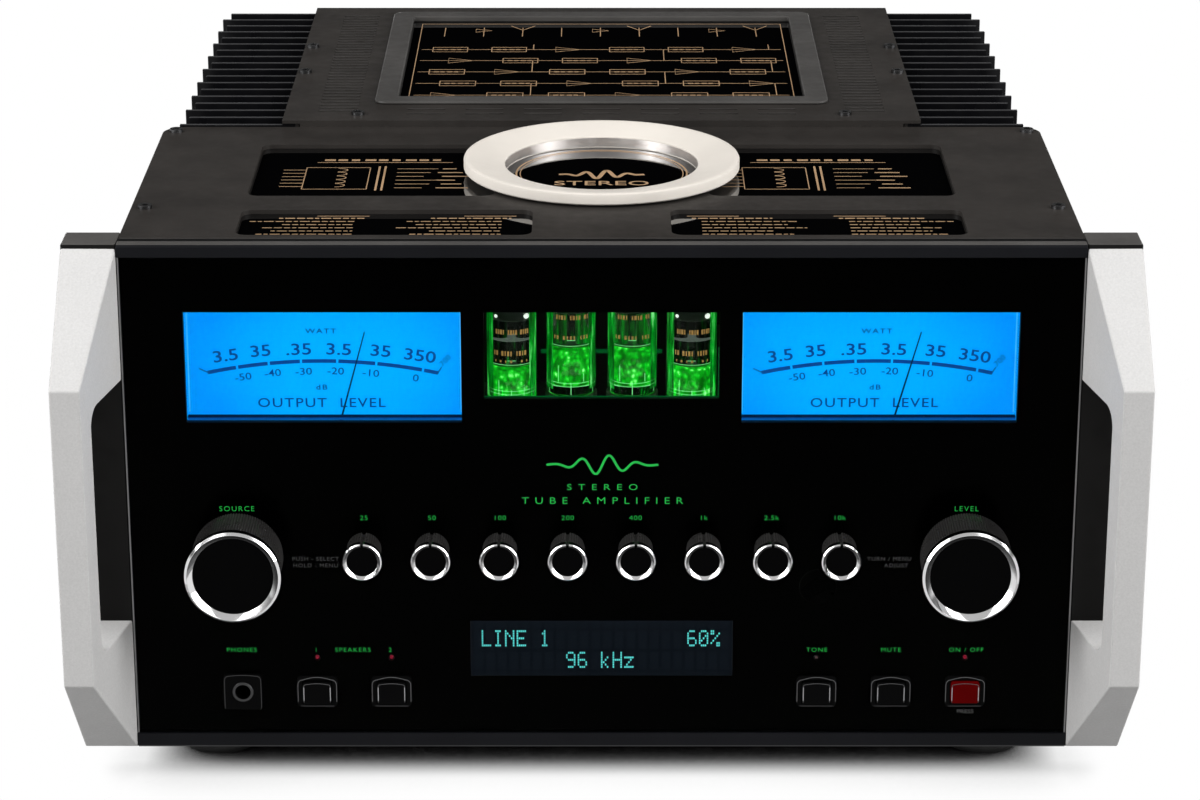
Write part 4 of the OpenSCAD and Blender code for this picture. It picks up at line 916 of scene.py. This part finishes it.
def arch_line(w, h, rise, corner):
    """Points up one side of a box, over its arched top and down the other side."""
    half, shoulder = w / 2 - corner, h / 2 - rise - corner
    quarter = [radians(22.5 * k) for k in range(5)]
    points = [(w / 2, -h / 2)]
    points += [(half + corner * cos(a), shoulder + corner * sin(a)) for a in quarter]
    points += [(half * (1 - k / 4), h / 2 - rise * (1 - sin(pi * k / 8))) for k in range(1, 8)]
    points += [(-half - corner * sin(a), shoulder + corner * cos(a)) for a in quarter]
    return points + [(-w / 2, -h / 2)]


bezel_w, bezel_h = 16.5, 13.4
cap_w, cap_h = 11.3, 8.7
bezel_face = (0, extent("button_bezels")[0].y - 0.01, 0)
edges = Shape(at=bezel_face)
lower_lines = Shape(at=bezel_face)
for node in BUTTONS:
    x, y, z = middle(node)
    edges.band(arch_line(bezel_w, bezel_h - 2, 1.2, 2.2), 0.32, x, z + 1)
    lower_lines.band([(-bezel_w / 2 + 1.2, 0), (bezel_w / 2 - 1.2, 0)], 0.3, x, z - bezel_h / 2)
    top = Shape(at=(x, y - 0.01, z)).band(arch_line(cap_w, cap_h, 0.5, 0.9), 0.22)
    top.piece(node + "_edge", "edge_grey", "button_black", smooth=0, body=node)
    # Painted highlights on the left and right sides of each cap
    flank_highlights = Shape(at=(x, y - 0.03, z))
    for k in SIDES:
        flank_highlights.band([(k * cap_w / 2, -cap_h / 2 + 0.8), (k * cap_w / 2, cap_h / 2 - 1.8)], 0.36)
    flank_highlights.piece(node + "_sides", "edge_bright", "button_black", smooth=0, body=node)
edges.piece("bezel_edges", "edge_grey", "knob_black", smooth=0)
x, y, z = middle("headphone_jack")
lower_lines.at = (x, y - 0.01, z)
lower_lines.band(arch_line(15.6, 15.6, 0.4, 2), 0.28)
lower_lines.piece("bezel_feet", "edge_dim", "knob_black", smooth=0)
# The nut takes the dim paint as its own dark colour
nut = Shape().turned((x, y, z), [(3.3, 0), (3.4, -0.3), (4.1, -0.35), (4.5, -0.1), (4.5, 0)], 48)
nut.piece("phone_nut", "edge_dim", "knob_black", smooth=60)

# Dot characters of the display: seven rows of five bits

DOTS = {
    "L": (16, 16, 16, 16, 16, 16, 31), "I": (14, 4, 4, 4, 4, 4, 14), "N": (17, 25, 21, 19, 17, 17, 17),
    "E": (31, 16, 16, 30, 16, 16, 31), "6": (14, 16, 16, 30, 17, 17, 14), "0": (14, 17, 19, 21, 25, 17, 14),
    "%": (24, 25, 2, 4, 8, 19, 3), "9": (14, 17, 17, 15, 1, 1, 14), "k": (16, 16, 18, 20, 24, 20, 18),
    "H": (17, 17, 17, 31, 17, 17, 17), "z": (0, 0, 31, 2, 4, 8, 31), "1": (4, 12, 4, 4, 4, 4, 14),
    " ": (0,) * 7,
}
dots = Shape()
dot_y = extent("display_module")[0].y
pitch_u, pitch_v = 0.83, 1.1
for text, x, z in (("LINE 1", -51.2, 67), ("60%", 36.6, 67), ("96 kHz", -15.2, 57)):
    for k, letter in enumerate(text):
        for row, bits in enumerate(DOTS[letter]):
            for column in range(5):
                if bits >> (4 - column) & 1:
                    u, v = x + (6 * k + column) * pitch_u, z - row * pitch_v
                    dots.block((u, dot_y - 0.06, v - 0.92), (u + 0.62, dot_y - 0.005, v - 0.08))
dots.piece("display_dots", "display_teal", smooth=0)

# Gold prints on the black glass of the covers

top_z = extent("cover_glass")[1].z
gold = Shape("top")
line = 0.4
for side in SIDES:
    # Winding, leads and bars on the larger plates
    gold.at = (side * 96, 104, top_z)
    gold.box_line(-34, -16, -6, 18, line)
    for k in range(6):
        v = -14 + 6 * k
        gold.band([(-34, -12 + 5.2 * k), (-44, -12 + 5.2 * k)], line)
        gold.band([(6, v), (18 + 3 * (k % 3), v)], line)
        gold.band([(24 + 2 * (k % 2), v), (38 - 3 * (k % 3), v)], 1.1)
    for u in (-2, 0.6):
        gold.band([(u, -18), (u, 20)], 0.9)
    for k in range(5):
        angles = [a * pi / 8 for a in range(-4, 5)]
        gold.band([(-20 + 4.2 * cos(a), -10 + 6 * k + 2.6 * sin(a)) for a in angles], line)
    for k in range(9):
        gold.band([(-27 + 6 * k, 30), (-22.2 + 6 * k - (k % 3) * 0.6, 30)], 2.4)
    gold.band([(-30, 26.2), (30, 26.2)], 0.5)
    # Rows of short bars on the smaller plates
    for column in (0, 1):
        shift = 62 * column
        for row in range(6):
            gold.at = (0, 44 - 4.6 * row, top_z)
            start = 38 + shift + (4 if row else 0)
            reach = (34, 40, 36, 44, 30, 38)[(row + 2 * column) % 6]
            u, end = sorted((side * start, side * (start + reach)))
            k = 0
            while u < end - 1:
                bar = 3.6 * (0.5 + 0.22 * ((3 * k + row) % 4))
                gold.band([(u, 0), (min(u + bar, end), 0)], 0.75 if row else 1.1)
                u += bar + 0.8
                k += 1
        gold.at = (0, 47.2, top_z)
        gold.band([(side * (36 + shift), 0), (side * (58 + shift), 0)], 0.5)
gold.at = (ring[0], ring[1], top_z)
gold.band([(u * 0.8, 1.5 * v - 2) for u, v in wave], 2)
for r, width in ((37.5, 0.8), (35.8, 0.4)):
    turns = [a * pi / 36 for a in range(72)]
    gold.band([(r * cos(a), r * sin(a)) for a in turns], width, closed=True)
gold.words("STEREO", 6.5, 0, -16, 1.3)
gold.piece("cover_print", "ink_gold", smooth=0)

low, high = extent("diagram_frame")
diagram = Shape("top", (0, (low.y + high.y) / 2, extent("diagram_glass")[1].z))
border = 15
u_end, v_end = (high.x - low.x) / 2 - border, (high.y - low.y) / 2 - border
thin, thick = 0.42, 0.6
row_pitch = 22


def box_mark(u, v, w, h):
    """Box with a row of short bars inside."""
    diagram.box_line(u - w / 2, v - h / 2, u + w / 2, v + h / 2, thin)
    step = (w - 4) / 4
    for k in range(4):
        start = u - w / 2 + 2.2 + k * step
        diagram.band([(start, v), (start + step - 0.8 - 0.5 * (k % 2), v)], 1.5)


def gain_mark(u, v, s):
    """Triangle that points to the right."""
    diagram.band([(u - s, v - s * 0.8), (u + s, v), (u - s, v + s * 0.8)], thin, closed=True)


for row in range(5):
    v = -v_end + 8 + row * row_pitch
    diagram.band([(-u_end + 2, v), (u_end - 2, v)], thin * 0.8)
    for k in range(6):
        u = -u_end + 16 + k * 29 + (row % 2) * 6
        if (k + row) % 3 == 0:
            gain_mark(u, v, 6)
        else:
            box_mark(u, v, 17, 9)
        if (k + 2 * row) % 4 == 1:
            diagram.band([(u + 12, v), (u + 12, v + (row_pitch if row < 4 else 10))], thin)
for k in range(9):
    u = -u_end + 12 + k * 19.5
    diagram.band([(u, v_end - 26), (u, v_end - 8)], thin)
    if k % 3 == 1:
        gain_mark(u, v_end - 14, 4)
    elif k % 3 == 2:
        diagram.band([(u - 6, v_end - 4), (u, v_end - 13), (u + 6, v_end - 4)], thick)
diagram.box_line(-u_end, -v_end, u_end, v_end, thin)
diagram.piece("diagram_print", "ink_gold", smooth=0)

# Painted highlights: pale far edges of the vent slots and the bright front edge of the front cover
highlight_lines = Shape()
rear_low, rear_high = extent("rear_cover")


def slot_edge(x, y, half):
    """Painted highlight on the far edge of one vent slot."""
    highlight_lines.block((x - half, y, rear_high.z - 0.3), (x + half, y + 0.5, rear_high.z + 0.05))


for k in range(36):
    for side in SIDES:
        slot_edge(side * 121.75, rear_low.y + 17.9 + 5.3 * k, 8.9)
for k in range(-3, 4):
    for row in (0, 1):
        slot_edge(k * 27, rear_low.y + 12.9 + 8 * row, 8.7)
low, high = extent("transformer_cover")
highlight_lines.block((-198.5, low.y + 0.35, high.z - 0.12), (198.5, low.y + 0.9, high.z + 0.04))
highlight_lines.piece("vent_edges", "edge_paint", "cover_paint")

# Painted highlights: thin bright grey strips at both ends of the glass
seam = Shape()
low, high = extent("front_glass")
for side in SIDES:
    x = side * (high.x - 0.25)
    seam.block((x - 0.3, -0.35, low.z), (x + 0.3, -0.01, high.z))
seam.piece("glass_seams", "seam_grey", "rail_dark")

# Rear sockets: coloured rings and words

panel_y = extent("rear_panel")[1].y
post_x = [extent("speaker_posts")[1].x - 9.5 - 26 * k for k in range(4)]
jack_x = [26 * k for k in range(-4, 5)]
caps = (Shape(), Shape())
for k, x in enumerate(post_x):
    for side in SIDES:
        cap = [(8.05, 8.6), (8.6, 8.9), (8.7, 12), (8.6, 20), (8.05, 20.3)]
        caps[k % 2].turned((side * x, panel_y, 49), cap, 18)
caps[0].piece("post_caps_red", "post_red", "button_red", smooth=20)
caps[1].piece("post_caps_black", "knob_black", smooth=20)
low, high = extent("phono_jacks")
for name, paint, slot, z in (
    ("phono_rings_white", "sleeve_white", "ink_grey", high.z - 6.55),
    ("phono_rings_red", "post_red", "button_red", low.z + 6.55),
):
    rings = Shape()
    for x in jack_x:
        rings.turned((x, panel_y, z), [(4.2, 1.5), (5.6, 1.5), (5.4, 2.5), (4.2, 2.5)], 32)
    rings.piece(name, paint, slot)
shells = Shape()
contacts = Shape()
flange_y = extent("balanced_sockets")[1].y
socket_z = middle("balanced_sockets")[2]
for x in (-78, -38, 38, 78):
    shells.turned((x, flange_y, socket_z), [(8.4, -0.1), (9.6, -0.1), (9.4, 0.4), (8.6, 0.4)], 48)
    for across, up in ((-3.377, -1.95), (3.377, -1.95), (0, 3.9)):
        contact = [(1.3, -0.1), (1.8, -0.1), (1.7, 0.3), (1.4, 0.3)]
        contacts.turned((x + across, flange_y, socket_z + up), contact, 20)
shells.piece("balanced_shells", "knob_chrome")
contacts.piece("balanced_contacts", "contact_gold")

# Words on the rear panel, with u to the right as seen from the rear
back = Shape("rear", (0, panel_y, 0))
posts_u = 137
for k, x in enumerate(jack_x):
    back.words(str(k + 1), 3, -x, 185, 1.2)
for text, u, z, tall in (
    ("INPUTS", 0, 214, 4), ("BALANCED IN", 0, 145, 3.2), ("SPEAKERS", -posts_u, 71, 3.6),
    ("SPEAKERS", posts_u, 71, 3.6), ("AC IN", 0, 71, 3.2), ("L", -124, 198, 4), ("R", -124, 172, 4),
):
    back.words(text, tall, u, z, 1.25)
for side in SIDES:
    for k, x in enumerate(post_x):
        back.words("-" if k % 2 else "+", 3, -side * x, 34, 1.2)
    back.band([(-46, 0), (46, 0)], 0.5, -side * posts_u, 66.5)
back.band([(-112, 0), (112, 0)], 0.5, 0, 210)
back.piece("rear_lettering", "ink_grey", smooth=0)


# Stage, light and camera

def stage_floor():
    """Pale floor that looks white, with the object's shadow painted from ambient occlusion."""
    reach, down = 12, -0.0005
    mesh = bpy.data.meshes.new("floor")
    corners = [(a * reach, b * reach, down) for a, b in ((-1, -1), (1, -1), (1, 1), (-1, 1))]
    mesh.from_pydata(corners, [], [(0, 1, 2, 3)])
    made = Finish("floor", (0.24, 0.24, 0.24), 0.9)
    made.tint(made.noise(3, 2), 0.03)
    shadow = (
        (0.07, 0), (0.1, 0.012), (0.14, 0.14), (0.2, 0.4), (0.31, 0.69), (0.42, 0.9), (0.46, 0.97), (0.5, 1),
    )
    open_share = made.node("AmbientOcclusion", {"Distance": 0.2}, samples=40).outputs["AO"]
    glow = made.node("Emission", {"Color": made.ramp(open_share, *[(at, (v, v, v)) for at, v in shadow])})
    pick = made.node("MixShader", {0: made.background_rays(), 1: made.shader.outputs[0], 2: glow.outputs[0]})
    made.link(pick.outputs[0], made.tree.nodes["Material Output"].inputs["Surface"])
    mesh.materials.append(paints["floor"])
    floor = show("floor", mesh)


def studio_world():
    """White to look at and low in reflections; as light a soft dome, brightest overhead and in front."""
    world = bpy.data.worlds.new("studio")
    bpy.context.scene.world = world
    world.use_nodes = True
    made = Nodes(world.node_tree)
    where = made.node("TexCoord").outputs["Generated"]
    slope = made.node("VectorMath", {0: where, 1: (0, -0.45, 0.80)}, operation="DOT_PRODUCT")
    level = made.math("ADD", slope.outputs["Value"], 0.08)
    dome = made.ramp(level, (0, (0, 0, 0)), (1, (0.66, 0.656, 0.652)))
    height = made.node("SeparateXYZ", {"Vector": where}).outputs["Z"]
    seen = made.background_rays(made.span(height, 0.17, 0.07))
    pick = made.node("Mix", {"Factor": seen, "A": dome, "B": (1, 1, 1, 1)}, data_type="RGBA")
    made.link(pick.outputs["Result"], made.tree.nodes["Background"].inputs["Color"])


def lamp(name, at, aim, size, power):
    """Soft rectangular lamp that looks at a point."""
    light = bpy.data.lights.new(name, "AREA")
    light.shape = "RECTANGLE"
    light.size, light.size_y = size
    light.energy = power
    made = show(name, light)
    made.location = at
    made.rotation_euler = (Vector(aim) - Vector(at)).to_track_quat("-Z", "Y").to_euler()


stage_floor()
studio_world()
for side, sign in HANDS:
    lamp("top_%s_box" % side, (sign * 0.85, -0.45, 1.5), (0, 0, 0.1), (0.7, 1), 5)
    lamp(side + "_fill", (sign * 1.75, -0.85, 0.95), (sign * -0.15, -0.2, 0.12), (0.8, 1.4), 34)
lamp("rear_fill", (0, 1.6, 0.12), (0, 0.2, 0.12), (1.6, 0.16), 10)

eye = bpy.data.cameras.new("camera")
eye.lens = 109.5
eye.sensor_width = 36
eye.clip_start = 0.05
camera = show("camera", eye)
look_down = radians(19.52)
camera.location = (-0.0007, FRONT - 1.432, 0.680)
camera.rotation_euler = (pi / 2 - look_down, 0, 0)
bpy.context.scene.camera = camera
bpy.context.scene.view_settings.view_transform = "Standard"
